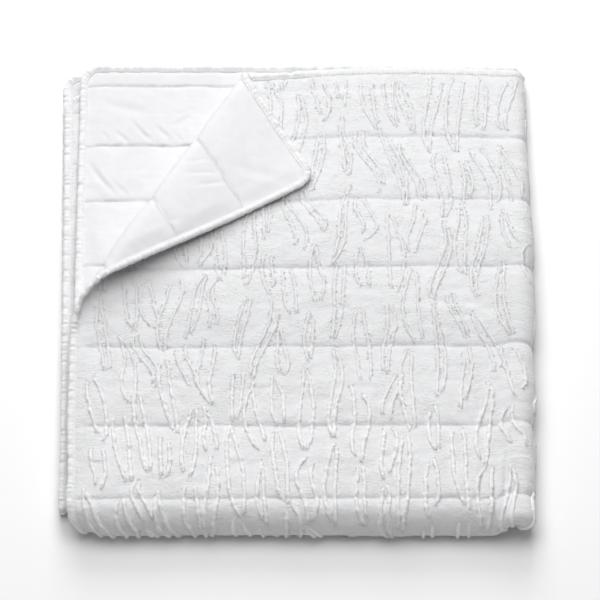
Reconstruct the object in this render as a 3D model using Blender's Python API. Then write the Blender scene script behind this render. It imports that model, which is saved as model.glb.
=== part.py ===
"""Quilted bedspread, folded in quarters with one corner turned back.

The cloth is drawn flat, in metres: "across" runs from the upper left edge round the right-hand fold
to the lower left edge, and "along" runs from the rear edge of the top layer round the front roll to
the rear edge of the layer below it. The functions below carry each place on the flat cloth to its
place in the folded packet. The packet lies on z = 0, with its front at -Y and its long folds at the
front and at the right. Its origin is the middle of its underside.
"""

import math

import bmesh
import bpy
import numpy as np

# Driving sizes, in metres.
BINDING = 0.010  # width of the bound edge
GAP = 0.0003  # between neighbouring pieces
CORNER = 0.026  # radius of the cloth's corners
HALF_AT_SEAM = 0.0013  # half the cloth's thickness on a quilting seam
CROWN_SHARE = 0.40  # half thickness of a channel's crown, as a share of the layer spacing
REST_SHARE = 0.80  # height of the lowest layer's middle, as a share of that half thickness
TAPER = 0.022  # how far in from a bound edge the filling thins out

# Spacing of the four layers, thinner at the rear edges than in the body of the packet.
SPACING_FRONT = 0.0140
SPACING_REAR = 0.0080
THICK_BEHIND = 0.0  # the packet starts to thin out behind this y
THIN_AT = 0.345  # and is thinnest at this y

# Channel widths along the cloth, as uneven as they lie.
FACE_CHANNELS = (0.105, 0.097, 0.104, 0.117, 0.117, 0.108)
ROLL_CHANNEL = 0.112
BACK_CHANNELS = (0.115, 0.115, 0.115, 0.098, 0.085, 0.091, 0.0315)
CREST = sum(FACE_CHANNELS)  # the seam on top of the front roll
LENGTH = CREST + ROLL_CHANNEL + sum(BACK_CHANNELS)

# The right-hand fold, and the cloth's width on each side of it.
FOLD_X = 0.2754
UPPER_WIDTH = 0.567
FOLD_WIDTH = math.pi * SPACING_FRONT
FOLD_SQUARENESS = 2.5  # of the fold's section; 2 is a round one
LOWER_WIDTH = 0.578
WIDTH = UPPER_WIDTH + FOLD_WIDTH + LOWER_WIDTH

# The front roll of the upper pair: distance along the cloth from the crest seam, y from that seam,
# and height over the middle of the pair.
CREST_Y = -0.311
ROLL_COLUMNS = ("along", "y", "height")
ROLL = (
    (-0.130, 0.1300, 0.0070),
    (-0.090, 0.0900, 0.0070),
    (-0.050, 0.0500, 0.0082),
    (-0.020, 0.0200, 0.0100),
    (0.000, 0.0000, 0.0102),
    (0.014, -0.0135, 0.0078),
    (0.030, -0.0245, -0.0018),
    (0.044, -0.0285, -0.0145),
    (0.058, -0.0265, -0.0272),
    (0.067, -0.0208, -0.0325),
    (0.076, -0.0145, -0.0280),
    (0.088, -0.0120, -0.0170),
    (0.100, -0.0045, -0.0090),
    (0.116, 0.0100, -0.0066),
    (0.140, 0.0340, -0.0070),
    (0.170, 0.0640, -0.0070),
)
ROLL_FADES = 0.028  # the roll shrinks to a plain fold over this width before the right-hand fold

# The plain front fold, of the lower pair and at the right-hand fold, in whose lower half it draws back.
NOSE_ALONG = CREST + 0.040
NOSE_Y_LOWER = CREST_Y + 0.0095
NOSE_Y_RIGHT = CREST_Y - 0.0190

# Rear edge of each layer: share of the way from the left edge to the right-hand fold, and y.
REAR_COLUMNS = ("share", "layer_1", "layer_2", "layer_3", "layer_4")
REAR = (
    (0.00, 0.3300, 0.3465, 0.3060, 0.3430),
    (0.42, 0.3290, 0.3465, 0.3230, 0.3410),
    (0.58, 0.3365, 0.3465, 0.3300, 0.3390),
    (0.85, 0.3380, 0.3460, 0.3400, 0.3370),
    (1.00, 0.3345, 0.3440, 0.3440, 0.3345),
)

# Left edge of each pair of layers: distance along the cloth, and x.
LEFT_COLUMNS = ("along", "upper", "lower")
LEFT = (
    (0.000, -0.2690, -0.3020),
    (0.330, -0.2880, -0.3020),
    (0.600, -0.2930, -0.3030),
    (0.678, -0.2900, -0.3040),
    (0.708, -0.2750, -0.3050),
    (0.748, -0.2850, -0.3040),
    (0.850, -0.2900, -0.3030),
    (1.080, -0.2855, -0.3010),
    (LENGTH, -0.2790, -0.3000),
)

# The corner that is turned back: where its bend starts, the bend's radius at each end, and the
# height that the corner settles to.
TURN_REAR = (-0.0569, 0.3211)
TURN_LEFT = (-0.2683, -0.0466)
TURN_RADIUS_REAR = 0.010
TURN_RADIUS_LEFT = 0.018
TURN_SETTLES_OVER = 0.110
TURN_SETTLES_TO = 0.0135

# Lines of the mesh.
EDGE_LINES = (0.0, BINDING / 2, BINDING, BINDING + GAP, 0.018, CORNER)
FACE_CROWN_LINES = (0.20, 0.50, 0.80)  # shares of a channel
BACK_CROWN_LINES = (0.22, 0.78)
ROLL_LINES = (0.014, 0.030, 0.044, 0.058, 0.067, 0.076, 0.090)
UPPER_COLUMNS = 7
FOLD_COLUMNS = 5
LOWER_COLUMNS = 5
BEND_LINES = 6

STEP = 0.0001  # for slopes of the folded surface
PACKET_MIDDLE = (-0.0017, 0.0006)  # of the folded packet, in the sizes above

COLOURS = {
    "face_panel": (0.86, 0.87, 0.88),
    "backing_panel": (0.90, 0.91, 0.92),
    "edge_binding": (0.92, 0.92, 0.92),
}


def column(table, names, name):
    return np.array([row[names.index(name)] for row in table])


def smooth_step(share):
    share = np.clip(share, 0, 1)
    return share * share * (3 - 2 * share)


def curve_through(places, values, at):
    """A smooth curve through the values at those places, read at each place in at."""
    slopes = np.gradient(values, places)
    left = np.clip(np.searchsorted(places, at) - 1, 0, len(places) - 2)
    width = places[left + 1] - places[left]
    share = np.clip((at - places[left]) / width, 0, 1)
    rise = smooth_step(share)
    return (
        values[left] * (1 - rise)
        + values[left + 1] * rise
        + width * slopes[left] * share * (1 - share) ** 2
        - width * slopes[left + 1] * share**2 * (1 - share)
    )


def spacing(y):
    """The layer spacing at a distance from the front."""
    thinning = smooth_step((y - THICK_BEHIND) / (THIN_AT - THICK_BEHIND))
    return SPACING_FRONT + (SPACING_REAR - SPACING_FRONT) * thinning


def lowest_middle(gap):
    """The height of the lowest layer's middle."""
    return REST_SHARE * CROWN_SHARE * gap


def rear_edge(name, share):
    return curve_through(column(REAR, REAR_COLUMNS, "share"), column(REAR, REAR_COLUMNS, name), share)


def left_edge(name, along):
    return curve_through(column(LEFT, LEFT_COLUMNS, "along"), column(LEFT, LEFT_COLUMNS, name), along)


def turn_of(across):
    """The angle by which the pair of layers has turned round the right-hand fold."""
    return np.clip((across - UPPER_WIDTH) / FOLD_WIDTH, 0, 1) * math.pi


def fold_bulge(turn):
    """How far the right-hand fold's section stands out, as a share of a round one's."""
    power = FOLD_SQUARENESS
    return (np.abs(np.cos(turn)) ** power + np.abs(np.sin(turn)) ** power) ** (-1 / power)


def share_across(across):
    """0 at a left edge and 1 at the right-hand fold, for the upper and the lower pair alike."""
    upper = across / UPPER_WIDTH
    lower = (WIDTH - across) / LOWER_WIDTH
    return np.clip(np.minimum(upper, lower), 0, 1)


def rolled_section(across, along):
    """y, and height over the middle of the pair, with the big front roll."""
    share = share_across(across)
    from_crest = along - CREST
    places = column(ROLL, ROLL_COLUMNS, "along")
    y = CREST_Y + curve_through(places, column(ROLL, ROLL_COLUMNS, "y"), from_crest)
    height = curve_through(places, column(ROLL, ROLL_COLUMNS, "height"), from_crest)
    face_start = CREST + places[0]
    back_start = CREST + places[-1]
    rear_face = rear_edge("layer_1", share)
    rear_back = rear_edge("layer_2", share)
    face_y = rear_face + (CREST_Y + ROLL[0][1] - rear_face) * along / face_start
    back_run = (along - back_start) / (LENGTH - back_start)
    back_y = CREST_Y + ROLL[-1][1] + (rear_back - CREST_Y - ROLL[-1][1]) * back_run
    on_face = along < face_start
    on_back = along > back_start
    y = np.where(on_face, face_y, np.where(on_back, back_y, y))
    half = spacing(y) / 2
    height = np.where(on_face, half, np.where(on_back, -half, height))
    return y, height


def plain_section(across, along):
    """y, and height over the middle of the pair, with a plain front fold."""
    share = share_across(across)
    lower = across > UPPER_WIDTH + FOLD_WIDTH / 2
    reached = smooth_step(2 * (across - UPPER_WIDTH) / FOLD_WIDTH - 1)
    nose_y = NOSE_Y_RIGHT + (NOSE_Y_LOWER - NOSE_Y_RIGHT) * reached
    half = SPACING_FRONT / 2
    from_nose = along - NOSE_ALONG
    angle = np.clip(from_nose / half, -math.pi / 2, math.pi / 2)
    straight = np.maximum(np.abs(from_nose) - half * math.pi / 2, 0)
    rear_face = np.where(lower, rear_edge("layer_4", share), rear_edge("layer_1", share))
    rear_back = np.where(lower, rear_edge("layer_3", share), rear_edge("layer_2", share))
    stretch_face = (rear_face - nose_y) / (NOSE_ALONG - half * math.pi / 2)
    stretch_back = (rear_back - nose_y) / (LENGTH - NOSE_ALONG - half * math.pi / 2)
    y = nose_y - half * np.cos(angle) + straight * np.where(from_nose < 0, stretch_face, stretch_back)
    height = -spacing(y) / 2 * np.sin(angle)
    return y, height


def packet(across, along):
    """Places in the packet before the corner is turned back."""
    rolled_y, rolled_height = rolled_section(across, along)
    plain_y, plain_height = plain_section(across, along)
    roll = smooth_step((UPPER_WIDTH - across) / ROLL_FADES)
    y = roll * rolled_y + (1 - roll) * plain_y
    height = roll * rolled_height + (1 - roll) * plain_height
    gap = spacing(y)
    turn = turn_of(across)
    upper_x = FOLD_X - (UPPER_WIDTH - across) / UPPER_WIDTH * (FOLD_X - left_edge("upper", along))
    lower_run = (across - UPPER_WIDTH - FOLD_WIDTH) / LOWER_WIDTH
    lower_x = FOLD_X - lower_run * (FOLD_X - left_edge("lower", along))
    reach = (gap + height) * fold_bulge(turn)
    turning_x = FOLD_X + reach * np.sin(turn)
    x = np.where(turn <= 0, upper_x, np.where(turn >= math.pi, lower_x, turning_x))
    z = lowest_middle(gap) + 1.5 * gap + reach * np.cos(turn)
    return x, y, z


def turn_frame():
    """The start of the corner's bend, its direction, its outward normal and its length."""
    start = np.array(TURN_REAR)
    run = np.array(TURN_LEFT) - start
    length = float(np.hypot(*run))
    direction = run / length
    outward = np.array((direction[1], -direction[0]))
    return start, direction, outward, length


def top_height(y):
    """The height of the top layer's middle behind the roll."""
    gap = spacing(y)
    return lowest_middle(gap) + 3 * gap


def folded(across, along):
    """Places of the cloth's middle surface in the folded packet, as rows of x, y, z."""
    x, y, z = packet(across, along)
    start, direction, outward, length = turn_frame()
    down_line = (x - start[0]) * direction[0] + (y - start[1]) * direction[1]
    out = (x - start[0]) * outward[0] + (y - start[1]) * outward[1]
    down_share = np.clip(down_line / length, -0.2, 1.2)
    radius = TURN_RADIUS_REAR + (TURN_RADIUS_LEFT - TURN_RADIUS_REAR) * down_share
    angle = np.clip(out / radius, 0, math.pi)
    past = np.maximum(out - math.pi * radius, 0)
    back_out = radius * np.sin(angle) - past
    turned_x = start[0] + direction[0] * down_line + outward[0] * back_out
    turned_y = start[1] + direction[1] * down_line + outward[1] * back_out
    settled = TURN_SETTLES_TO * spacing(turned_y) / SPACING_FRONT
    lift = radius * (1 - np.cos(angle))
    lift = lift + (settled - lift) * smooth_step(past / TURN_SETTLES_OVER)
    turned = (across < UPPER_WIDTH) & (along < CREST) & (out > 0)
    x = np.where(turned, turned_x, x)
    y = np.where(turned, turned_y, y)
    z = np.where(turned, top_height(turned_y) + lift, z)
    return np.stack((x - PACKET_MIDDLE[0], y - PACKET_MIDDLE[1], z), axis=1)


def face_normals(across, along):
    """Unit normals of the middle surface, towards the face side."""
    run_across = folded(across + STEP, along) - folded(across - STEP, along)
    run_along = folded(across, along + STEP) - folded(across, along - STEP)
    normals = np.cross(run_along, run_across)
    return normals / np.linalg.norm(normals, axis=1)[:, None]


def inset(across, along):
    """How far a place on the flat cloth is from its nearest edge."""
    return np.minimum(np.minimum(across, WIDTH - across), np.minimum(along, LENGTH - along))


def rounded(across, along):
    """Carries the square-cornered flat cloth to one with round corners."""
    over_x = np.maximum(CORNER - across, 0) - np.maximum(across - WIDTH + CORNER, 0)
    over_y = np.maximum(CORNER - along, 0) - np.maximum(along - LENGTH + CORNER, 0)
    out = np.maximum(np.abs(over_x), np.abs(over_y))
    inner = np.minimum(np.abs(over_x), np.abs(over_y))
    turn = math.pi / 4 * inner / np.maximum(out, 1e-9)
    long_part = out * np.cos(turn)
    short_part = out * np.sin(turn)
    in_corner = (over_x != 0) & (over_y != 0)
    along_x = np.abs(over_x) >= np.abs(over_y)
    new_x = np.sign(over_x) * np.where(along_x, long_part, short_part)
    new_y = np.sign(over_y) * np.where(along_x, short_part, long_part)
    across = np.where(in_corner, across + over_x - new_x, across)
    along = np.where(in_corner, along + over_y - new_y, along)
    return across, along


def seams():
    """Places of the quilting seams along the cloth, with its two bound ends."""
    widths = FACE_CHANNELS + (ROLL_CHANNEL,) + BACK_CHANNELS
    places = np.concatenate(([0.0], np.cumsum(widths)))
    places[0] = BINDING
    places[-1] = LENGTH - BINDING
    return places


def half_thickness(across, along, y):
    """Half the quilted cloth's thickness: a crown in each channel, drawn in at seams and edges."""
    places = seams()
    left = np.clip(np.searchsorted(places, along) - 1, 0, len(places) - 2)
    share = np.clip((along - places[left]) / (places[left + 1] - places[left]), 0, 1)
    profile = (1 - np.abs(2 * share - 1) ** 2.6) ** 0.55
    narrow = np.minimum((places[left + 1] - places[left]) / 0.05, 1)
    edge = smooth_step((np.minimum(across, WIDTH - across) - BINDING) / TAPER)
    uneven = 1 + 0.05 * np.sin(23 * across + 3 * left) + 0.04 * np.sin(41 * across + 5 * left)
    crown = CROWN_SHARE * spacing(y) * np.minimum(uneven, 1.04) * narrow
    return HALF_AT_SEAM + (crown - HALF_AT_SEAM) * profile * edge


def binding_half_thickness(across, along):
    """Half the bound edge's thickness, plumpest along its middle."""
    depth = np.clip(inset(across, along) / BINDING, 0, 1)
    return 0.0008 + 0.0005 * depth + 0.0050 * depth * (1 - depth)


def across_lines():
    left = np.array(EDGE_LINES)
    right = WIDTH - left[::-1]
    fade = UPPER_WIDTH - ROLL_FADES * np.array((1, 0.67, 0.33))
    upper = np.linspace(CORNER, fade[0], UPPER_COLUMNS + 1)[1:-1]
    fold = UPPER_WIDTH + np.linspace(0, FOLD_WIDTH, FOLD_COLUMNS + 1)
    lower = np.linspace(fold[-1], WIDTH - CORNER, LOWER_COLUMNS + 1)[1:-1]
    return np.concatenate((left, upper, fade, fold, lower, right))


def along_lines():
    places = seams()
    roll = CREST + np.array(ROLL_LINES)
    lines = list(EDGE_LINES) + list(LENGTH - np.array(EDGE_LINES)) + list(roll)
    for start, end in zip(places[:-1], places[1:]):
        shares = FACE_CROWN_LINES if end < CREST + GAP else BACK_CROWN_LINES
        if abs(start - CREST) > GAP and end - start > 0.05:
            lines += [start + share * (end - start) for share in shares]
    lines += list(places[1:-1])
    lines = np.array(sorted(lines))
    keep = np.concatenate(([True], np.diff(lines) > 0.6 * GAP))
    return lines[keep]


def flat_cloth():
    """The flat cloth as a grid on its own lines, cut again along the turned corner's bend."""
    columns = across_lines()
    rows = along_lines()
    cloth = bmesh.new()
    bmesh.ops.create_grid(cloth, x_segments=len(columns) - 1, y_segments=len(rows) - 1, size=1)
    for vert in cloth.verts:
        i = round((vert.co.x + 1) / 2 * (len(columns) - 1))
        j = round((vert.co.y + 1) / 2 * (len(rows) - 1))
        vert.co = (columns[i], rows[j], 0)
    start, direction, outward, length = turn_frame()
    for line in range(BEND_LINES + 1):
        angle = math.pi * line / BEND_LINES
        ends = []
        for share, radius in ((0, TURN_RADIUS_REAR), (1, TURN_RADIUS_LEFT)):
            place = start + direction * length * share + outward * radius * angle
            ends.append(flat_place(*place))
        cut_cloth(cloth, ends[0], ends[1])
    return cloth


def flat_place(x, y):
    """The place on the flat cloth that lies at x and y in the top layer."""
    face_start = CREST + ROLL[0][0]
    along = 0.2
    across = 0.2
    for _ in range(6):
        rear = float(rear_edge("layer_1", np.array([across / UPPER_WIDTH]))[0])
        along = (y - rear) / (CREST_Y + ROLL[0][1] - rear) * face_start
        left = float(left_edge("upper", np.array([max(along, 0)]))[0])
        across = UPPER_WIDTH - (FOLD_X - x) / (FOLD_X - left) * UPPER_WIDTH
    return across, along


def cut_cloth(cloth, start, end):
    """Cuts the faces of the top layer along a line of the flat cloth."""
    faces = [f for f in cloth.faces if in_top_layer(f.calc_center_median())]
    edges = {edge for face in faces for edge in face.edges}
    verts = {vert for face in faces for vert in face.verts}
    normal = (end[1] - start[1], start[0] - end[0], 0)
    bmesh.ops.bisect_plane(
        cloth,
        geom=faces + list(edges) + list(verts),
        dist=0.00002,
        plane_co=(start[0], start[1], 0),
        plane_no=normal,
    )


def in_top_layer(place):
    return place.x < UPPER_WIDTH / 2 and place.y < CREST + ROLL[0][0]


def keep_faces(cloth, wanted):
    """Leaves only the faces whose middle lies at a wanted distance from the cloth's edge."""
    gone = []
    for face in cloth.faces:
        middle = face.calc_center_median()
        depth = min(middle.x, WIDTH - middle.x, middle.y, LENGTH - middle.y)
        if not wanted(depth):
            gone.append(face)
    bmesh.ops.delete(cloth, geom=gone, context="FACES")


def solid(name, wanted, inner, outer):
    """A closed solid on the cloth's middle surface, from its inner to its outer offset."""
    cloth = flat_cloth()
    keep_faces(cloth, wanted)
    bmesh.ops.triangulate(cloth, faces=cloth.faces[:], quad_method="BEAUTY")
    grown = bmesh.ops.extrude_face_region(cloth, geom=cloth.faces[:])
    outside = {item for item in grown["geom"] if isinstance(item, bmesh.types.BMVert)}
    verts = list(cloth.verts)
    flat = np.array([(vert.co.x, vert.co.y) for vert in verts])
    across, along = rounded(flat[:, 0], flat[:, 1])
    middle = folded(across, along)
    normals = face_normals(across, along)
    low = inner(flat[:, 0], flat[:, 1], middle[:, 1])
    high = outer(flat[:, 0], flat[:, 1], middle[:, 1])
    is_outside = np.array([vert in outside for vert in verts])
    offset = np.where(is_outside, high, low)
    places = middle + normals * offset[:, None]
    places[:, 2] = np.maximum(places[:, 2], 0)
    for vert, place in zip(verts, places):
        vert.co = place
    bmesh.ops.recalc_face_normals(cloth, faces=cloth.faces[:])
    if cloth.calc_volume(signed=True) < 0:
        bmesh.ops.reverse_faces(cloth, faces=cloth.faces[:])
    mesh = bpy.data.meshes.new(name)
    cloth.to_mesh(mesh)
    cloth.free()
    mesh.shade_smooth()
    mesh.set_sharp_from_angle(angle=math.radians(60))
    return bpy.data.objects.new(name, mesh)


def face_panel():
    """The quilted face cloth with its half of the filling."""
    return solid(
        "face_panel",
        lambda depth: depth > BINDING + GAP,
        lambda across, along, y: np.full(len(y), GAP / 2),
        half_thickness,
    )


def backing_panel():
    """The plain backing cloth with its half of the filling."""
    return solid(
        "backing_panel",
        lambda depth: depth > BINDING + GAP,
        lambda across, along, y: -half_thickness(across, along, y),
        lambda across, along, y: np.full(len(y), -GAP / 2),
    )


def edge_binding():
    """The strip folded round all four edges."""
    return solid(
        "edge_binding",
        lambda depth: depth < BINDING,
        lambda across, along, y: -binding_half_thickness(across, along),
        lambda across, along, y: binding_half_thickness(across, along),
    )


def give_material(part):
    material = bpy.data.materials.new(part.name)
    material.use_nodes = True
    shader = material.node_tree.nodes["Principled BSDF"]
    shader.inputs["Base Color"].default_value = (*COLOURS[part.name], 1)
    shader.inputs["Roughness"].default_value = 0.9
    shader.inputs["Metallic"].default_value = 0.0
    part.data.materials.append(material)


def main():
    for item in list(bpy.data.objects):
        bpy.data.objects.remove(item)
    collection = bpy.data.collections.new("quilted_bedspread")
    bpy.context.scene.collection.children.link(collection)
    for make in (face_panel, backing_panel, edge_binding):
        part = make()
        give_material(part)
        collection.objects.link(part)


main()
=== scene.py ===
"""Dresses the folded quilted bedspread: its sheets, bound edge, clipped yarn strips and sewing."""

import logging
import math
from dataclasses import dataclass, field
from enum import Enum
from functools import cached_property

import bpy
import numpy as np
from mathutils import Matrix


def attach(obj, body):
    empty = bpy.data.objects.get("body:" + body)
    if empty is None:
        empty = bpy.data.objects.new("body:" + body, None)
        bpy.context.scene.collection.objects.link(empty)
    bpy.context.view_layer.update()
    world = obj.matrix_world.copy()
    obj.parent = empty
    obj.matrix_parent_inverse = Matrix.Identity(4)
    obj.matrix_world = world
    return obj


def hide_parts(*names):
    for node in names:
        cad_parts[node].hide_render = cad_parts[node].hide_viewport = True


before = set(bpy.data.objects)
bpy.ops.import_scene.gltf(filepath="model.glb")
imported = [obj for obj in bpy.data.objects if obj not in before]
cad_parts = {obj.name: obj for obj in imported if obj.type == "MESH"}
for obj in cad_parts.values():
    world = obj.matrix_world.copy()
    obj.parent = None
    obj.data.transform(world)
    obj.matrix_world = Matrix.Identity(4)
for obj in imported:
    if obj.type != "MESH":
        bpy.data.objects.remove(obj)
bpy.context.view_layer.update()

LOG = logging.getLogger("bedspread")


class Side(Enum):
    """The two sides of the quilted cloth, as the sign of an offset along its normal."""

    FACE = 1.0
    BACK = -1.0


class Slot(Enum):
    """The record's material slots."""

    FACE = "face_cotton"
    BACKING = "backing_percale"
    BINDING = "binding_percale"


def smooth_step(share: np.ndarray) -> np.ndarray:
    """A soft rise from 0 to 1, flat at both ends.

    Args:
        share: Shares of the way, which are kept between 0 and 1.

    Returns:
        The height at each share.
    """
    share = np.clip(share, 0.0, 1.0)
    return share * share * (3.0 - 2.0 * share)


@dataclass(frozen=True)
class Table:
    """A short table with named columns, read as smooth curves.

    Args:
        columns: The column names; the first is the place that the others are read at.
        rows: One row of numbers for each place.
    """

    columns: tuple[str, ...]
    rows: tuple[tuple[float, ...], ...]

    def column(self, name: str) -> np.ndarray:
        """All the values of one column."""
        return np.array([row[self.columns.index(name)] for row in self.rows])

    def at(self, name: str, place: np.ndarray) -> np.ndarray:
        """Reads a smooth curve through a column.

        Args:
            name: The column's name.
            place: Where to read it, in the first column's units.

        Returns:
            The values at those places.
        """
        places = self.column(self.columns[0])
        values = self.column(name)
        slopes = np.gradient(values, places)
        left = np.clip(np.searchsorted(places, place) - 1, 0, len(places) - 2)
        width = places[left + 1] - places[left]
        share = np.clip((place - places[left]) / width, 0.0, 1.0)
        rise = smooth_step(share)
        return (
            values[left] * (1 - rise)
            + values[left + 1] * rise
            + width * slopes[left] * share * (1 - share) ** 2
            - width * slopes[left + 1] * share**2 * (1 - share)
        )


@dataclass(frozen=True)
class Unevenness:
    """Seeded smooth noise between -1 and 1, for forms that no two places share.

    Args:
        seed: The seed of its lattice.
        size: How many values the lattice has each way before it repeats.
    """

    seed: int
    size: int = 256

    @cached_property
    def lattice(self) -> np.ndarray:
        """The lattice of random values."""
        return np.random.default_rng(self.seed).uniform(-1.0, 1.0, (self.size, self.size))

    def at(self, first: np.ndarray, second: np.ndarray | float = 0.0) -> np.ndarray:
        """Reads the noise.

        Args:
            first: Places along the lattice's first way, one unit a cell.
            second: Places along its second way.

        Returns:
            Values between -1 and 1.
        """
        first, second = np.broadcast_arrays(np.asarray(first, float), np.asarray(second, float))
        low_first = np.floor(first).astype(int)
        low_second = np.floor(second).astype(int)
        rise_first = smooth_step(first - low_first)
        rise_second = smooth_step(second - low_second)
        total = np.zeros(first.shape)
        for i in (0, 1):
            for j in (0, 1):
                value = self.lattice[(low_first + i) % self.size, (low_second + j) % self.size]
                share_first = rise_first if i else 1 - rise_first
                share_second = rise_second if j else 1 - rise_second
                total += value * share_first * share_second
        return total


@dataclass(frozen=True)
class FoldedCloth:
    """The quilted cloth's flat sizes and the way that it is folded, in metres.

    A place on the flat cloth is "across", from the upper left edge round the right-hand fold to the
    lower left edge, and "along", from the top layer's rear edge round the front roll to the rear
    edge of the layer below it.

    Args:
        binding: The width of the bound edge.
        corner: The radius of the cloth's corners.
        half_at_seam: Half the cloth's thickness at a seam.
        crown_share: How far a channel's crown stands over the middle, as a share of the spacing.
        rest_share: How much of that crown is left where the lowest layer rests.
        taper: How far in from the bound edge a channel reaches its full crown.
        spacing_front: The spacing of the layers at the front.
        spacing_rear: Their spacing at the rear.
        thick_behind: The y at which the spacing starts to shrink.
        thin_at: The y at which it is smallest.
        face_channels: The channels of the top layer, from its rear edge to the roll's crest.
        roll_channel: The channel that goes round the front roll.
        back_channels: The channels behind it, to the second layer's rear edge.
        fold_x: Where the right-hand fold starts.
        upper_width: The width of the upper pair of layers.
        lower_width: The width of the lower pair.
        crest_y: The y of the seam on top of the front roll.
        roll_fades: The width over which the roll turns into a plain fold at its right-hand end.
        fold_squareness: The power of the right-hand fold's section; 2 is a half circle.
        nose_after_crest: How far past the crest's seam a plain front fold turns.
        nose_y_lower: The y of the lower pair's front fold.
        nose_y_right: The y of the front fold at the right-hand fold.
        turn_rear: The rear end of the line at which the corner turns back.
        turn_left: Its left end.
        turn_radius_rear: The radius of the corner's bend at the rear end.
        turn_radius_left: Its radius at the left end.
        turn_settles_over: The distance over which the turned corner comes down.
        turn_settles_to: How high it then lies over the top layer.
        packet_middle: The middle of the packet, which is moved to the origin.
        step: The distance over which directions are measured.
        roll: The section of the front roll.
        rear: The rear edges of the four layers.
        left: The left edges of both pairs of layers.
    """

    binding: float = 0.010
    corner: float = 0.026
    half_at_seam: float = 0.0013
    crown_share: float = 0.40
    rest_share: float = 0.80
    taper: float = 0.022
    spacing_front: float = 0.0140
    spacing_rear: float = 0.0080
    thick_behind: float = 0.0
    thin_at: float = 0.345
    face_channels: tuple[float, ...] = (0.105, 0.097, 0.104, 0.117, 0.117, 0.108)
    roll_channel: float = 0.112
    back_channels: tuple[float, ...] = (0.115, 0.115, 0.115, 0.098, 0.085, 0.091, 0.0315)
    fold_x: float = 0.2754
    upper_width: float = 0.567
    lower_width: float = 0.578
    crest_y: float = -0.311
    roll_fades: float = 0.028
    fold_squareness: float = 2.5
    nose_after_crest: float = 0.040
    nose_y_lower: float = -0.3015
    nose_y_right: float = -0.3300
    turn_rear: tuple[float, float] = (-0.0569, 0.3211)
    turn_left: tuple[float, float] = (-0.2683, -0.0466)
    turn_radius_rear: float = 0.010
    turn_radius_left: float = 0.018
    turn_settles_over: float = 0.110
    turn_settles_to: float = 0.0135
    packet_middle: tuple[float, float] = (-0.0017, 0.0006)
    step: float = 0.0001
    roll: Table = Table(
        ("along", "y", "height"),
        (
            (-0.130, 0.1300, 0.0070),
            (-0.090, 0.0900, 0.0070),
            (-0.050, 0.0500, 0.0082),
            (-0.020, 0.0200, 0.0100),
            (0.000, 0.0000, 0.0102),
            (0.014, -0.0135, 0.0078),
            (0.030, -0.0245, -0.0018),
            (0.044, -0.0285, -0.0145),
            (0.058, -0.0265, -0.0272),
            (0.067, -0.0208, -0.0325),
            (0.076, -0.0145, -0.0280),
            (0.088, -0.0120, -0.0170),
            (0.100, -0.0045, -0.0090),
            (0.116, 0.0100, -0.0066),
            (0.140, 0.0340, -0.0070),
            (0.170, 0.0640, -0.0070),
        ),
    )
    rear: Table = Table(
        ("share", "layer_1", "layer_2", "layer_3", "layer_4"),
        (
            (0.00, 0.3300, 0.3465, 0.3060, 0.3430),
            (0.42, 0.3290, 0.3465, 0.3230, 0.3410),
            (0.58, 0.3365, 0.3465, 0.3300, 0.3390),
            (0.85, 0.3380, 0.3460, 0.3400, 0.3370),
            (1.00, 0.3345, 0.3440, 0.3440, 0.3345),
        ),
    )
    left: Table = Table(
        ("along", "upper", "lower"),
        (
            (0.0000, -0.2690, -0.3020),
            (0.3300, -0.2880, -0.3020),
            (0.6000, -0.2930, -0.3030),
            (0.6780, -0.2900, -0.3040),
            (0.7080, -0.2750, -0.3050),
            (0.7480, -0.2850, -0.3040),
            (0.8500, -0.2900, -0.3030),
            (1.0800, -0.2855, -0.3010),
            (1.4105, -0.2790, -0.3000),
        ),
    )

    @cached_property
    def crest(self) -> float:
        """The place along the cloth of the seam on top of the front roll."""
        return sum(self.face_channels)

    @cached_property
    def length(self) -> float:
        """The flat cloth's length."""
        return self.crest + self.roll_channel + sum(self.back_channels)

    @cached_property
    def fold_width(self) -> float:
        """How much of the cloth's width goes round the right-hand fold."""
        return math.pi * self.spacing_front

    @cached_property
    def width(self) -> float:
        """The flat cloth's width."""
        return self.upper_width + self.fold_width + self.lower_width

    @cached_property
    def seams(self) -> np.ndarray:
        """The places of the quilting seams along the cloth, with its two bound ends.

        Returns:
            The places, in order.
        """
        widths = self.face_channels + (self.roll_channel,) + self.back_channels
        places = np.concatenate(([0.0], np.cumsum(widths)))
        places[0] = self.binding
        places[-1] = self.length - self.binding
        return places

    @cached_property
    def turn_frame(self) -> tuple[np.ndarray, np.ndarray, np.ndarray, float]:
        """The line at which the corner turns back.

        Returns:
            Its start, its direction, its outward normal and its length.
        """
        start = np.array(self.turn_rear)
        run = np.array(self.turn_left) - start
        length = float(np.hypot(*run))
        direction = run / length
        return start, direction, np.array((direction[1], -direction[0])), length

    def spacing(self, y: np.ndarray) -> np.ndarray:
        """The spacing of the layers at a distance from the front."""
        thinning = smooth_step((y - self.thick_behind) / (self.thin_at - self.thick_behind))
        return self.spacing_front + (self.spacing_rear - self.spacing_front) * thinning

    def lowest_middle(self, gap: np.ndarray) -> np.ndarray:
        """The height of the lowest layer's middle."""
        return self.rest_share * self.crown_share * gap

    def share_across(self, across: np.ndarray) -> np.ndarray:
        """0 at a left edge and 1 at the right-hand fold, in both pairs of layers."""
        shares = np.minimum(across / self.upper_width, (self.width - across) / self.lower_width)
        return np.clip(shares, 0.0, 1.0)

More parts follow.
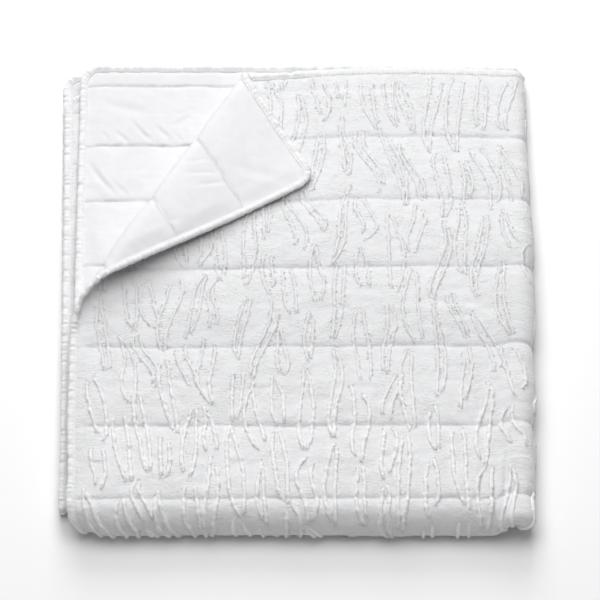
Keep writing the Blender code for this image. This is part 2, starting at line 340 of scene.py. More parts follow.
    def rolled_section(self, across: np.ndarray, along: np.ndarray) -> tuple[np.ndarray, np.ndarray]:
        """The section with the big front roll.

        Args:
            across: Places across the flat cloth.
            along: Places along it.

        Returns:
            y, and height over the middle of the pair of layers.
        """
        share = self.share_across(across)
        first, last = self.roll.rows[0], self.roll.rows[-1]
        y = self.crest_y + self.roll.at("y", along - self.crest)
        height = self.roll.at("height", along - self.crest)
        face_start = self.crest + first[0]
        back_start = self.crest + last[0]
        rear_face = self.rear.at("layer_1", share)
        rear_back = self.rear.at("layer_2", share)
        face_y = rear_face + (self.crest_y + first[1] - rear_face) * along / face_start
        back_run = (along - back_start) / (self.length - back_start)
        back_y = self.crest_y + last[1] + (rear_back - self.crest_y - last[1]) * back_run
        on_face = along < face_start
        on_back = along > back_start
        y = np.where(on_face, face_y, np.where(on_back, back_y, y))
        half = self.spacing(y) / 2
        return y, np.where(on_face, half, np.where(on_back, -half, height))

    def plain_section(self, across: np.ndarray, along: np.ndarray) -> tuple[np.ndarray, np.ndarray]:
        """The section with a plain front fold, of the lower pair and at the right-hand fold.

        Args:
            across: Places across the flat cloth.
            along: Places along it.

        Returns:
            y, and height over the middle of the pair of layers.
        """
        share = self.share_across(across)
        lower = across > self.upper_width + self.fold_width / 2
        reached = smooth_step(2 * (across - self.upper_width) / self.fold_width - 1)
        nose_y = self.nose_y_right + (self.nose_y_lower - self.nose_y_right) * reached
        half = self.spacing_front / 2
        nose_along = self.crest + self.nose_after_crest
        from_nose = along - nose_along
        angle = np.clip(from_nose / half, -math.pi / 2, math.pi / 2)
        straight = np.maximum(np.abs(from_nose) - half * math.pi / 2, 0.0)
        rear_face = np.where(lower, self.rear.at("layer_4", share), self.rear.at("layer_1", share))
        rear_back = np.where(lower, self.rear.at("layer_3", share), self.rear.at("layer_2", share))
        stretch_face = (rear_face - nose_y) / (nose_along - half * math.pi / 2)
        stretch_back = (rear_back - nose_y) / (self.length - nose_along - half * math.pi / 2)
        stretch = np.where(from_nose < 0, stretch_face, stretch_back)
        y = nose_y - half * np.cos(angle) + straight * stretch
        return y, -self.spacing(y) / 2 * np.sin(angle)

    def packet(self, across: np.ndarray, along: np.ndarray) -> tuple[np.ndarray, ...]:
        """Places in the packet before the corner is turned back.

        Args:
            across: Places across the flat cloth.
            along: Places along it.

        Returns:
            x, y and z of the cloth's middle surface.
        """
        rolled_y, rolled_height = self.rolled_section(across, along)
        plain_y, plain_height = self.plain_section(across, along)
        roll = smooth_step((self.upper_width - across) / self.roll_fades)
        y = roll * rolled_y + (1 - roll) * plain_y
        height = roll * rolled_height + (1 - roll) * plain_height
        gap = self.spacing(y)
        turn = np.clip((across - self.upper_width) / self.fold_width, 0.0, 1.0) * math.pi
        upper_run = (self.upper_width - across) / self.upper_width
        upper_x = self.fold_x - upper_run * (self.fold_x - self.left.at("upper", along))
        lower_run = (across - self.upper_width - self.fold_width) / self.lower_width
        lower_x = self.fold_x - lower_run * (self.fold_x - self.left.at("lower", along))
        power = self.fold_squareness
        bulge = (np.abs(np.cos(turn)) ** power + np.abs(np.sin(turn)) ** power) ** (-1 / power)
        reach = (gap + height) * bulge
        turning_x = self.fold_x + reach * np.sin(turn)
        x = np.where(turn <= 0, upper_x, np.where(turn >= math.pi, lower_x, turning_x))
        z = self.lowest_middle(gap) + 1.5 * gap + reach * np.cos(turn)
        return x, y, z

    def past_turn(self, across: np.ndarray, along: np.ndarray) -> np.ndarray:
        """How far places lie past the start of the turned corner's bend.

        Args:
            across: Places across the flat cloth.
            along: Places along it.

        Returns:
            The distance, which is below 0 outside the turned corner.
        """
        x, y, _ = self.packet(across, along)
        start, _, outward, _ = self.turn_frame
        out = (x - start[0]) * outward[0] + (y - start[1]) * outward[1]
        return np.where((across < self.upper_width) & (along < self.crest), out, -1.0)

    def folded(self, across: np.ndarray, along: np.ndarray) -> np.ndarray:
        """Places of the cloth's middle surface in the folded packet.

        Args:
            across: Places across the flat cloth.
            along: Places along it.

        Returns:
            One row of x, y and z for each place.
        """
        x, y, z = self.packet(across, along)
        start, direction, outward, length = self.turn_frame
        down_line = (x - start[0]) * direction[0] + (y - start[1]) * direction[1]
        out = (x - start[0]) * outward[0] + (y - start[1]) * outward[1]
        down_share = np.clip(down_line / length, -0.2, 1.2)
        radius = self.turn_radius_rear + (self.turn_radius_left - self.turn_radius_rear) * down_share
        angle = np.clip(out / radius, 0.0, math.pi)
        past = np.maximum(out - math.pi * radius, 0.0)
        back_out = radius * np.sin(angle) - past
        turned_x = start[0] + direction[0] * down_line + outward[0] * back_out
        turned_y = start[1] + direction[1] * down_line + outward[1] * back_out
        gap = self.spacing(turned_y)
        settled = self.turn_settles_to * gap / self.spacing_front
        lift = radius * (1 - np.cos(angle))
        lift = lift + (settled - lift) * smooth_step(past / self.turn_settles_over)
        turned = (across < self.upper_width) & (along < self.crest) & (out > 0)
        x = np.where(turned, turned_x, x)
        y = np.where(turned, turned_y, y)
        z = np.where(turned, self.lowest_middle(gap) + 3 * gap + lift, z)
        return np.stack((x - self.packet_middle[0], y - self.packet_middle[1], z), axis=-1)

    def frame_at(self, across: np.ndarray, along: np.ndarray) -> tuple[np.ndarray, ...]:
        """The middle surface with its directions.

        Args:
            across: Places across the flat cloth.
            along: Places along it.

        Returns:
            Places, unit normals towards the face side, and unit directions across and along.
        """
        run_across = self.folded(across + self.step, along) - self.folded(across - self.step, along)
        run_along = self.folded(across, along + self.step) - self.folded(across, along - self.step)
        normals = np.cross(run_along, run_across)
        units = [v / np.linalg.norm(v, axis=-1, keepdims=True) for v in (normals, run_across, run_along)]
        return self.folded(across, along), *units

    def rounded(self, across: np.ndarray, along: np.ndarray) -> tuple[np.ndarray, np.ndarray]:
        """Carries the square-cornered flat cloth to one with round corners.

        Args:
            across: Places across the square-cornered cloth.
            along: Places along it.

        Returns:
            The places across and along on the round-cornered cloth.
        """
        over_x = np.maximum(self.corner - across, 0) - np.maximum(across - self.width + self.corner, 0)
        over_y = np.maximum(self.corner - along, 0) - np.maximum(along - self.length + self.corner, 0)
        out = np.maximum(np.abs(over_x), np.abs(over_y))
        inner = np.minimum(np.abs(over_x), np.abs(over_y))
        turn = math.pi / 4 * inner / np.maximum(out, 1e-9)
        in_corner = (over_x != 0) & (over_y != 0)
        wide = np.abs(over_x) >= np.abs(over_y)
        new_x = np.sign(over_x) * out * np.where(wide, np.cos(turn), np.sin(turn))
        new_y = np.sign(over_y) * out * np.where(wide, np.sin(turn), np.cos(turn))
        across = np.where(in_corner, across + over_x - new_x, across)
        along = np.where(in_corner, along + over_y - new_y, along)
        return across, along

    def half_thickness(self, across: np.ndarray, along: np.ndarray, y: np.ndarray) -> np.ndarray:
        """Half the quilted cloth's thickness: a crown in each channel, drawn in at its seams.

        Args:
            across: Places across the flat cloth.
            along: Places along it.
            y: The same places' y in the packet.

        Returns:
            Half the thickness at each place.
        """
        left = np.clip(np.searchsorted(self.seams, along) - 1, 0, len(self.seams) - 2)
        channel = self.seams[left + 1] - self.seams[left]
        share = np.clip((along - self.seams[left]) / channel, 0.0, 1.0)
        profile = (1 - np.abs(2 * share - 1) ** 2.6) ** 0.66
        edge_distance = np.minimum(across, self.width - across) - self.binding
        uneven = 1 + 0.05 * np.sin(23 * across + 3 * left) + 0.04 * np.sin(41 * across + 5 * left)
        crown = self.crown_share * self.spacing(y) * np.minimum(uneven, 1.04)
        crown = crown * np.minimum(channel / 0.038, 1.0)
        rise = profile * smooth_step(edge_distance / self.taper)
        return self.half_at_seam + (crown - self.half_at_seam) * rise

    def seam_distance(self, along: np.ndarray) -> tuple[np.ndarray, np.ndarray]:
        """The nearest sewn seam.

        Args:
            along: Places along the flat cloth.

        Returns:
            The signed distance to it, and its number.
        """
        inner = self.seams[1:-1]
        nearest = np.abs(along[..., None] - inner).argmin(-1)
        return along - inner[nearest], nearest


@dataclass(frozen=True)
class Crease:
    """A soft crease placed on one side of the cloth.

    Args:
        across: Its middle across the flat cloth.
        along: Its middle along it.
        reach: Half its length.
        angle: Its direction in degrees, from across towards along.
        width: Half its width.
        depth: Its depth; a ridge has a depth below 0.
    """

    across: float
    along: float
    reach: float
    angle: float
    width: float
    depth: float

    def relief(self, across: np.ndarray, along: np.ndarray) -> np.ndarray:
        """The crease's relief.

        Args:
            across: Places across the flat cloth.
            along: Places along it.

        Returns:
            How far each place moves outwards.
        """
        turn = math.radians(self.angle)
        dx = across - self.across
        dy = along - self.along
        down = dx * math.cos(turn) + dy * math.sin(turn)
        off = -dx * math.sin(turn) + dy * math.cos(turn)
        off = off - 0.15 * self.width * np.sin(down / self.reach * 4.0)
        trough = np.exp(-((off / self.width) ** 2)) * np.exp(-((down / self.reach) ** 4))
        shoulder = np.exp(-(((off - 1.7 * self.width) / self.width) ** 2)) * 0.35
        return self.depth * (shoulder * np.exp(-((down / self.reach) ** 4)) - trough)


class Shading:
    """Builds one material's nodes, with arithmetic on its sockets."""

    class Value:
        """A socket's value, on which Python's operators add Math nodes."""

        def __init__(self, shading: "Shading", socket: bpy.types.NodeSocket) -> None:
            """Wraps a socket.

            Args:
                shading: The material that the socket belongs to.
                socket: The output socket.
            """
            self.shading = shading
            self.socket = socket

        def joined(self, operation: str, *others: "Shading.Value | float") -> "Shading.Value":
            """Adds one Math node on this value and others."""
            return self.shading.node("ShaderNodeMath", {"operation": operation}, self, *others)

        def __add__(self, other: "Shading.Value | float") -> "Shading.Value":
            """The sum."""
            return self.joined("ADD", other)

        __radd__ = __add__

        def __mul__(self, other: "Shading.Value | float") -> "Shading.Value":
            """The product."""
            return self.joined("MULTIPLY", other)

        __rmul__ = __mul__

        def __sub__(self, other: "Shading.Value | float") -> "Shading.Value":
            """The difference."""
            return self.joined("SUBTRACT", other)

        def __rsub__(self, other: float) -> "Shading.Value":
            """A number less this value."""
            return self.shading.node("ShaderNodeMath", {"operation": "SUBTRACT"}, other, self)

        def __pow__(self, other: float) -> "Shading.Value":
            """The power."""
            return self.joined("POWER", other)

    def __init__(self, name: str) -> None:
        """Starts a material with an empty Principled shader.

        Args:
            name: The material's name.
        """
        self.material = bpy.data.materials.new(name)
        self.material.use_nodes = True
        self.shader = self.material.node_tree.nodes["Principled BSDF"]

    def node(
        self, kind: str, settings: dict, *inputs: object, output: int | str = 0, **named: object
    ) -> "Shading.Value":
        """Adds a node.

        Args:
            kind: The node's type.
            settings: The settings that are made before its sockets are filled.
            inputs: Values or links of its first sockets, in order; None leaves a socket as it is.
            output: The output to return, by number or name.
            named: Values or links of sockets by name, with _ for a space.

        Returns:
            The chosen output.
        """
        node = self.material.node_tree.nodes.new(kind)
        for key, value in settings.items():
            setattr(node, key, value)
        pairs = list(enumerate(inputs)) + [(key.replace("_", " "), value) for key, value in named.items()]
        for key, value in pairs:
            if value is not None:
                self.fill(node.inputs[key], value)
        return Shading.Value(self, node.outputs[output])

    def fill(self, socket: bpy.types.NodeSocket, value: object) -> None:
        """Links a value to a socket, or sets the socket to it.

        Args:
            socket: The input socket.
            value: A wrapped socket, or a number, colour or vector.
        """
        if isinstance(value, Shading.Value):
            self.material.node_tree.links.new(value.socket, socket)
        else:
            socket.default_value = value

    def ramp(self, value: "Shading.Value", low: float, high: float) -> "Shading.Value":
        """A soft step of a value from 0 at low to 1 at high."""
        return self.node("ShaderNodeMapRange", {"interpolation_type": "SMOOTHSTEP"}, value, low, high)

    def mixed(self, share: object, first: object, second: object) -> "Shading.Value":
        """A colour between two colours.

        Args:
            share: How much of the second colour shows.
            first: The first colour.
            second: The second colour.

        Returns:
            The mixed colour.
        """
        colours = (None,) * 5 + (first, second)
        return self.node("ShaderNodeMix", {"data_type": "RGBA"}, share, *colours, output=2)

    def finish(self, colour: object, roughness: object, normal: object, sheen: float) -> bpy.types.Material:
        """Joins everything to the shader.

        Args:
            colour: The base colour.
            roughness: The roughness.
            normal: The bumped normal.
            sheen: The weight of the sheen.

        Returns:
            The material.
        """
        self.fill(self.shader.inputs["Base Color"], colour)
        self.fill(self.shader.inputs["Roughness"], roughness)
        self.fill(self.shader.inputs["Normal"], normal)
        self.shader.inputs["Sheen Weight"].default_value = sheen
        self.shader.inputs["Sheen Roughness"].default_value = 0.5
        self.shader.inputs["Specular IOR Level"].default_value = 0.25
        return self.material


@dataclass(frozen=True)
class ClothFinish:
    """A white woven cotton, with its weave and crinkles on the flat cloth's own metres.

    Args:
        name: The material's name.
        bright: The colour on the crinkles' high places and in lighter patches.
        dim: The colour in the crinkles' hollows, where it is painted shade, and in darker patches.
        thread_pitch: The pitch of the weave.
        weave_height: The height of the weave's bump.
        crinkle_across: The crinkles' length across the cloth.
        crinkle_along: The crinkles' pitch along the cloth.
        crinkle_height: The height of their bump.
        rung_height: The height of the gathers inside the strips.
        pucker_size: The size of the small irregular puckers.
        pucker_height: The height of their bump.
        pleat_pitch: The pitch of the pleats of a binding.
        pleat_height: The height of their bump.
        seam_shade_colour: The colour of the shade painted into the groove at a seam and beside the bound
            edge.
        seam_shade_share: How much of that painted shade shows there.
    """

    name: str
    bright: tuple[float, float, float, float]
    dim: tuple[float, float, float, float]
    thread_pitch: float
    weave_height: float
    crinkle_across: float
    crinkle_along: float
    crinkle_height: float
    rung_height: float = 0.0
    pucker_size: float = 0.006
    pucker_height: float = 0.0
    pleat_pitch: float = 0.0066
    pleat_height: float = 0.0
    seam_shade_colour: tuple[float, float, float, float] = (0.50, 0.505, 0.53, 1.0)
    seam_shade_share: float = 0.0

    def material(self) -> bpy.types.Material:
        """Builds the material.

        Returns:
            The material.
        """
        shading = Shading(self.name)
        flat = shading.node("ShaderNodeTexCoord", {}, output="UV")
        stretched = shading.node(
            "ShaderNodeMapping", {}, flat, Scale=(1 / self.crinkle_across, 1 / self.crinkle_along, 1.0)
        )
        crinkle = shading.node(
            "ShaderNodeTexNoise", {}, stretched, Scale=1.0, Detail=3.0, Roughness=0.55, Distortion=1.2
        )
        cloud = shading.node("ShaderNodeTexNoise", {}, flat, Scale=28.0, Detail=2.0, Roughness=0.5)
        puckers = shading.node(
            "ShaderNodeTexNoise", {}, flat, Scale=1 / self.pucker_size, Detail=2.0, Distortion=2.2
        )
        patchy = 0.45 + 0.8 * shading.ramp(cloud, 0.35, 0.65)
        gather = shading.node("ShaderNodeAttribute", {"attribute_name": "gather"}, output="Fac")
        rungs = self.bands(shading, flat, "Y", 0.0045, 0.8)
        warp = self.bands(shading, flat, "X", self.thread_pitch, 1.5)
        weft = self.bands(shading, flat, "Y", self.thread_pitch, 1.5)
        weave = shading.node("ShaderNodeMath", {"operation": "MAXIMUM"}, warp, weft)
        height = crinkle * patchy * self.crinkle_height + weave * self.weave_height
        height = height + gather * rungs * patchy * self.rung_height + puckers * patchy * self.pucker_height
        if self.pleat_height:
            pleats = self.bands(shading, flat, "X", self.pleat_pitch, 1.6) ** 0.4
            height = height + pleats * self.pleat_height
        bump = shading.node("ShaderNodeBump", {}, Strength=1.0, Distance=1.0, Height=height)
        # The tone paints shade into the crinkles' hollows and varies at random in wide patches.
        tone = shading.ramp(crinkle, 0.30, 0.62) * 0.6 + shading.ramp(cloud, 0.3, 0.7) * 0.4
        colour = shading.mixed(tone, self.dim, self.bright)
        # Painted shade: the cloth is darkened along the seam grooves and beside the bound edge, where the
        # seam attribute is high.
        if self.seam_shade_share:
            seam = shading.node("ShaderNodeAttribute", {"attribute_name": "seam"}, output="Fac")
            broken = 0.6 + 0.4 * shading.ramp(puckers, 0.35, 0.6)
            colour = shading.mixed(seam * broken * self.seam_shade_share, colour, self.seam_shade_colour)
        roughness = 0.95 - 0.08 * weave
        return shading.finish(colour, roughness, bump, 0.25)

    def bands(
        self, shading: Shading, flat: Shading.Value, way: str, pitch: float, sway: float
    ) -> Shading.Value:
        """Even bands in one direction of the cloth.

        Args:
            shading: The material.
            flat: The flat cloth's metres.
            way: X for bands side by side across the cloth, Y for along it.
            pitch: The bands' pitch in metres.
            sway: How uneven they are.

        Returns:
            Values from 0 to 1.
        """
        settings = {"wave_type": "BANDS", "bands_direction": way, "wave_profile": "SIN"}
        scale = math.pi / 10 / pitch
        return shading.node("ShaderNodeTexWave", settings, flat, Scale=scale, Distortion=sway, Detail=1.0)


@dataclass(frozen=True)
class YarnFinish:
    """A soft spun yarn, on object coordinates.

    Args:
        name: The material's name.
        bright: The colour of its loose fibres, on the high places of their bump.
        dim: The colour between them, where it is painted shade.
        flattened_dim: The duller colour where it is pressed into the cloth; yarn standing full on the front
            roll is painted brighter, as painted light that its fuzz catches there.
        fibre: The pitch of the fibres.
        height: The height of their bump.
    """

    name: str
    bright: tuple[float, float, float, float]
    dim: tuple[float, float, float, float]
    flattened_dim: tuple[float, float, float, float]
    fibre: float
    height: float

    def material(self) -> bpy.types.Material:
        """Builds the material.

        Returns:
            The material.
        """
        shading = Shading(self.name)
        place = shading.node("ShaderNodeTexCoord", {}, output="Object")
        fibres = shading.node(
            "ShaderNodeTexNoise", {}, place, Scale=1 / self.fibre, Detail=3.0, Roughness=0.6
        )
        bump = shading.node("ShaderNodeBump", {}, Strength=1.0, Distance=1.0, Height=fibres * self.height)
        # Painted light: yarn that stands full, most of all on the front roll, is painted brighter than the
        # pressed yarn.
        fresh = shading.node("ShaderNodeAttribute", {"attribute_name": "fresh"}, output="Fac")
        # The fibres are painted darker between them, as shade, where their bump is low.
        colour = shading.mixed(shading.ramp(fibres, 0.35, 0.6), self.dim, self.bright)
        colour = shading.mixed(0.20 + 0.80 * shading.ramp(fresh, 0.45, 0.90), self.flattened_dim, colour)
        return shading.finish(colour, 0.97 - 0.05 * fibres, bump, 0.8)


@dataclass
class Grid:
    """A grid of places, made as one surface.

    Args:
        name: The piece's name.
        places: The places, as rows, columns and x, y, z.
        flat: The flat cloth's metres at the same places, as rows, columns and across, along.
        closed_columns: Whether the last column joins the first.
        closed_rows: Whether the last row joins the first.
        marks: Values at the same places that the material reads, by attribute name.
    """

    name: str
    places: np.ndarray
    flat: np.ndarray
    closed_columns: bool = False
    closed_rows: bool = False
    marks: dict[str, np.ndarray] = field(default_factory=dict)

    def build(self) -> bpy.types.Object:
        """Makes the mesh object, with its flat metres as its UV map.

        Returns:
            The object, at the origin.
        """
        rows, columns = self.places.shape[:2]
        next_row = np.arange(rows) if self.closed_rows else np.arange(rows - 1)
        next_column = np.arange(columns) if self.closed_columns else np.arange(columns - 1)
        i, j = (a.ravel() for a in np.meshgrid(next_row, next_column, indexing="ij"))
        k, m = (i + 1) % rows, (j + 1) % columns
        faces = np.stack((i * columns + j, k * columns + j, k * columns + m, i * columns + m), axis=1)
        marks = {mark: values.ravel() for mark, values in self.marks.items()}
        return mesh_object(self.name, self.places.reshape(-1, 3), faces, self.flat.reshape(-1, 2), **marks)


def mesh_object(
    name: str, places: np.ndarray, faces: np.ndarray, flat: np.ndarray | None = None, **marks: np.ndarray
) -> bpy.types.Object:
    """Makes a smooth-shaded mesh object from arrays.

    Args:
        name: The object's name.
        places: One row of x, y, z for each point.
        faces: One row of point numbers for each face, all with as many corners.
        flat: The UV place of each point, or None.
        marks: Values for each point that the material reads, by attribute name.

    Returns:
        The object, linked to the scene.
    """
    corners = faces.shape[1]
    mesh = bpy.data.meshes.new(name)
    mesh.vertices.add(len(places))
    mesh.vertices.foreach_set("co", np.ascontiguousarray(places, np.float32).ravel())
    mesh.loops.add(faces.size)
    mesh.loops.foreach_set("vertex_index", np.ascontiguousarray(faces, np.int32).ravel())
    mesh.polygons.add(len(faces))
    mesh.polygons.foreach_set("loop_start", np.arange(0, faces.size, corners, dtype=np.int32))
    mesh.update(calc_edges=True)
    mesh.validate()
    if flat is not None:
        layer = mesh.uv_layers.new(name="flat_cloth")
        loop_verts = np.zeros(len(mesh.loops), np.int32)
        mesh.loops.foreach_get("vertex_index", loop_verts)
        layer.data.foreach_set("uv", np.ascontiguousarray(flat[loop_verts], np.float32).ravel())
    for mark, values in marks.items():
        attribute = mesh.attributes.new(mark, "FLOAT", "POINT")
        attribute.data.foreach_set("value", np.ascontiguousarray(values, np.float32))
    mesh.shade_smooth()
    piece = bpy.data.objects.new(name, mesh)
    bpy.context.scene.collection.objects.link(piece)
    return piece


@dataclass(frozen=True)
class SewnLook:
    """How one side of the cloth looks at its seams and between them, in metres.

    Args:
        groove: The depth of the groove at a seam.
        groove_width: Half its width.
        pucker: The height of the puckers beside a seam.
        pucker_pitch: Their pitch along the seam.
        pucker_reach: How far they reach from the seam.
        ripple: The height of small ripples between the seams.
        swell: The height of wide uneven places.
        edge_groove: The depth of the groove beside the bound edge.
        edge_pucker: The height of the puckers that run in from it.
        creases: Creases, placed one by one.
    """

    groove: float
    groove_width: float
    pucker: float
    pucker_pitch: float
    pucker_reach: float
    ripple: float
    swell: float
    edge_groove: float
    edge_pucker: float
    creases: tuple[Crease, ...]


@dataclass
class Relief:
    """The height that the two sheets' surfaces stand over the cloth's middle.

    Args:
        cloth: The folded cloth.
        looks: How each side looks at its seams and between them.
        pucker_noise: The unevenness of its puckers.
        ripple_noise: The unevenness of its ripples.
        swell_noise: The unevenness of its wide places.
        pucker_root: How close to a seam its puckers start.
        ripple_size: The size of the ripples across and along.
        swell_size: The size of the wide uneven places across and along.
        seam_sway_slow: The slow sway of a seam's line.
        seam_sway_quick: Its quick sway.
    """

    cloth: FoldedCloth
    looks: dict[Side, SewnLook]
    pucker_noise: Unevenness = field(default_factory=lambda: Unevenness(11))
    ripple_noise: Unevenness = field(default_factory=lambda: Unevenness(23))
    swell_noise: Unevenness = field(default_factory=lambda: Unevenness(37))
    pucker_root: float = 0.0016
    ripple_size: tuple[float, float] = (0.019, 0.0095)
    swell_size: tuple[float, float] = (0.070, 0.045)
    seam_sway_slow: float = 0.0013
    seam_sway_quick: float = 0.0004

    def height(self, side: Side, across: np.ndarray, along: np.ndarray, y: np.ndarray) -> np.ndarray:
        """The height of a side's surface over the cloth's middle.

        Args:
            side: The face or the reverse side.
            across: Places across the flat cloth.
            along: Places along it.
            y: The same places' y in the packet.

        Returns:
            The height at each place, along that side's own normal.
        """
        cloth = self.cloth
        look = self.looks[side]
        swayed = along - self.seam_sway(across, along)
        half = cloth.half_thickness(across, swayed, y)
        distance, seam = cloth.seam_distance(swayed)
        shift = 40.0 * (side.value + 1.0) + np.where(distance > 0, 17.0, 0.0)
        lean = 0.45 * distance / look.pucker_pitch * self.ripple_noise.at(across / 0.03, seam + shift)
        pucker = self.pucker_noise.at(across / look.pucker_pitch + lean, seam * 7.0 + shift)
        strength = 0.55 + 0.45 * self.swell_noise.at(across / 0.055, seam * 3.0 + shift)
        away = np.abs(distance)
        fall = np.exp(-away / look.pucker_reach) * (1 - np.exp(-away / self.pucker_root))
        groove = np.exp(-((distance / look.groove_width) ** 2))
        middle = np.clip((half - cloth.half_at_seam) / 0.004, 0.0, 1.0)
        ripple = self.ripple_noise.at(across / self.ripple_size[0] + shift, along / self.ripple_size[1])
        swell = self.swell_noise.at(across / self.swell_size[0] + shift, along / self.swell_size[1])
        relief = half + look.pucker * pucker * strength * fall - look.groove * groove
        relief = relief + (look.ripple * ripple + look.swell * (swell - 0.5)) * middle
        relief = relief + self.beside_binding(look, across, along)
        for crease in look.creases:
            relief = relief + crease.relief(across, along)
        return np.maximum(relief, 0.0002)

    def seam_sway(self, across: np.ndarray, along: np.ndarray) -> np.ndarray:
        """How far a seam runs off its straight line, in metres along the cloth.

        Args:
            across: Places across the flat cloth.
            along: Places along it.

        Returns:
            The distance at each place.
        """
        slow = self.swell_noise.at(across / 0.038, along / 0.19)
        quick = self.ripple_noise.at(across / 0.011, along)
        return self.seam_sway_slow * slow + self.seam_sway_quick * quick

    def from_binding(self, across: np.ndarray, along: np.ndarray) -> tuple[np.ndarray, np.ndarray]:
        """How far places lie in from the binding.

        Args:
            across: Places across the flat cloth.
            along: Places along it.

        Returns:
            The distances from the nearer side's binding and from the nearer end's.
        """
        cloth = self.cloth
        from_side = np.minimum(across, cloth.width - across) - cloth.binding
        from_end = np.minimum(along, cloth.length - along) - cloth.binding
        return from_side, from_end

    def painted_seam_shade(self, side: Side, across: np.ndarray, along: np.ndarray) -> np.ndarray:
        """How much shade is painted at places near a seam or the bound edge, in their grooves.

        Args:
            side: The face or the reverse side.
            across: Places across the flat cloth.
            along: Places along it.

        Returns:
            1 on a seam, 0 away from it.
        """
        distance, _ = self.cloth.seam_distance(along - self.seam_sway(across, along))
        from_side, from_end = self.from_binding(across, along)
        inward = np.maximum(np.minimum(from_side, from_end), 0.0)
        width = self.looks[side].groove_width
        return np.maximum(np.exp(-((distance / width) ** 2)), 0.6 * np.exp(-((inward / width) ** 2)))

    def beside_binding(self, look: SewnLook, across: np.ndarray, along: np.ndarray) -> np.ndarray:
        """The groove and the puckers beside the bound edge.

        Args:
            look: How the side looks.
            across: Places across the flat cloth.
            along: Places along it.

        Returns:
            The relief that they add.
        """
        from_side, from_end = self.from_binding(across, along)
        inward = np.maximum(np.minimum(from_side, from_end), 0.0)
        walked = np.where(from_side < from_end, along, across)
        pucker = self.pucker_noise.at(walked / 0.0075, 140.0 + np.floor(across + along))
        groove = look.edge_groove * np.exp(-((inward / 0.0024) ** 2))
        return look.edge_pucker * pucker * np.exp(-inward / 0.0085) - groove


@dataclass(frozen=True)
class Strip:
    """One lens-shaped strip of the face, between two lines of clipped yarn.

    Args:
        chain: The place across the cloth of the chain that it belongs to.
        start: Where it starts along the cloth.
        end: Where it ends.
        lean: How far it drifts across for each metre along.
        bend: The height of its bow.
        curl: The height of its S-curve.
        belly: The share of its length at which it is widest.
        half: Half its greatest width.
        laddered: Whether it has rungs between its two lines.
    """

    chain: float
    start: float
    end: float
    lean: float
    bend: float
    curl: float
    belly: float
    half: float
    laddered: bool

    def middle(self, along: np.ndarray, sway: Unevenness) -> np.ndarray:
        """The strip's middle line, as places across the cloth.

        Args:
            along: Places along the cloth.
            sway: The sway that it shares with its neighbours.

        Returns:
            The places across.
        """
        share = (along - self.start) / (self.end - self.start)
        own = self.lean * (along - (self.start + self.end) / 2)
        own = own + self.bend * (np.sin(math.pi * share) - 0.6) + self.curl * np.sin(2 * math.pi * share)
        return self.chain + 0.013 * sway.at(along / 0.090, self.chain * 11.0) + own

    def half_width(self, along: np.ndarray) -> np.ndarray:
        """Half the strip's width, drawn to a tip at both ends.

        Args:
            along: Places along the cloth.

        Returns:
            Half the width at each place.
        """
        share = np.clip((along - self.start) / (self.end - self.start), 0.0, 1.0)
        skewed = share ** (math.log(0.5) / math.log(self.belly))
        return self.half * np.sin(math.pi * skewed) ** 0.6


@dataclass
class StripLayout:
    """The rule by which the strips lie on the face, in staggered chains.

    Args:
        cloth: The folded cloth.
        chain_pitch: The mean distance between neighbouring chains.
        strip_length: The mean length of a strip.
        half_width: The mean of half a strip's greatest width.
        seed: The seed of its random sizes.
    """

    cloth: FoldedCloth
    chain_pitch: float = 0.0315
    strip_length: float = 0.112
    half_width: float = 0.0072
    seed: int = 77

    @cached_property
    def sway(self) -> Unevenness:
        """The slow sway that neighbouring strips share."""
        return Unevenness(self.seed)

    @cached_property
    def wobble(self) -> Unevenness:
        """The small kinks of each yarn line."""
        return Unevenness(self.seed + 1)

    @cached_property
    def strips(self) -> list[Strip]:
        """All the strips, in chains from the upper left edge to the lower one.

        Returns:
            The strips.
        """
        random = np.random.default_rng(self.seed)
        edge = self.cloth.binding + 0.004
        room = self.cloth.width - 2 * edge
        count = round(room / self.chain_pitch)
        found = []
        for number in range(count):
            chain = edge + (number + 0.5 + random.uniform(-0.16, 0.16)) * room / count
            start = edge - self.strip_length * random.uniform(0.0, 0.9)
            while start < self.cloth.length - edge:
                length = self.strip_length * random.uniform(0.62, 1.28)
                found.append(
                    Strip(
                        chain=chain + random.uniform(-0.0035, 0.0035),
                        start=start,
                        end=start + length,
                        lean=random.normal(0.05, 0.12),
                        bend=random.normal(0.0, 0.0035),
                        curl=random.normal(0.0, 0.0030),
                        belly=random.uniform(0.30, 0.70),
                        half=self.half_width * random.uniform(0.60, 1.40),
                        laddered=random.uniform() < 0.16,
                    )
                )
                start += length + random.uniform(-0.010, 0.014)
        return found

    def inside(self, across: np.ndarray, along: np.ndarray) -> np.ndarray:
        """How far places lie inside the strips: 1 on a middle line and 0 outside.

        Args:
            across: Places across a grid whose rows each have one place along the cloth.
            along: The places along.

        Returns:
            A value for each place.
        """
        found = np.zeros(across.shape)
        rows = along[:, along.shape[1] // 2]
        for strip in self.strips:
            near = np.nonzero((rows > strip.start) & (rows < strip.end))[0]
            if len(near) == 0:
                continue
            middle = strip.middle(rows[near], self.sway)[:, None]
            half = strip.half_width(rows[near])[:, None] + 0.0005
            off = np.abs(across[near] - middle) / half
            found[near] = np.maximum(found[near], smooth_step((1.15 - off) / 0.5))
        return found


@dataclass(frozen=True)
class Stretch:
    """A stretch of grid lines.

    Args:
        end: Where it ends.
        pitch: The greatest distance between its lines.
        seam_lines: The distances from a seam at which it has lines of its own.
    """

    end: float
    pitch: float
    seam_lines: tuple[float, ...] = ()


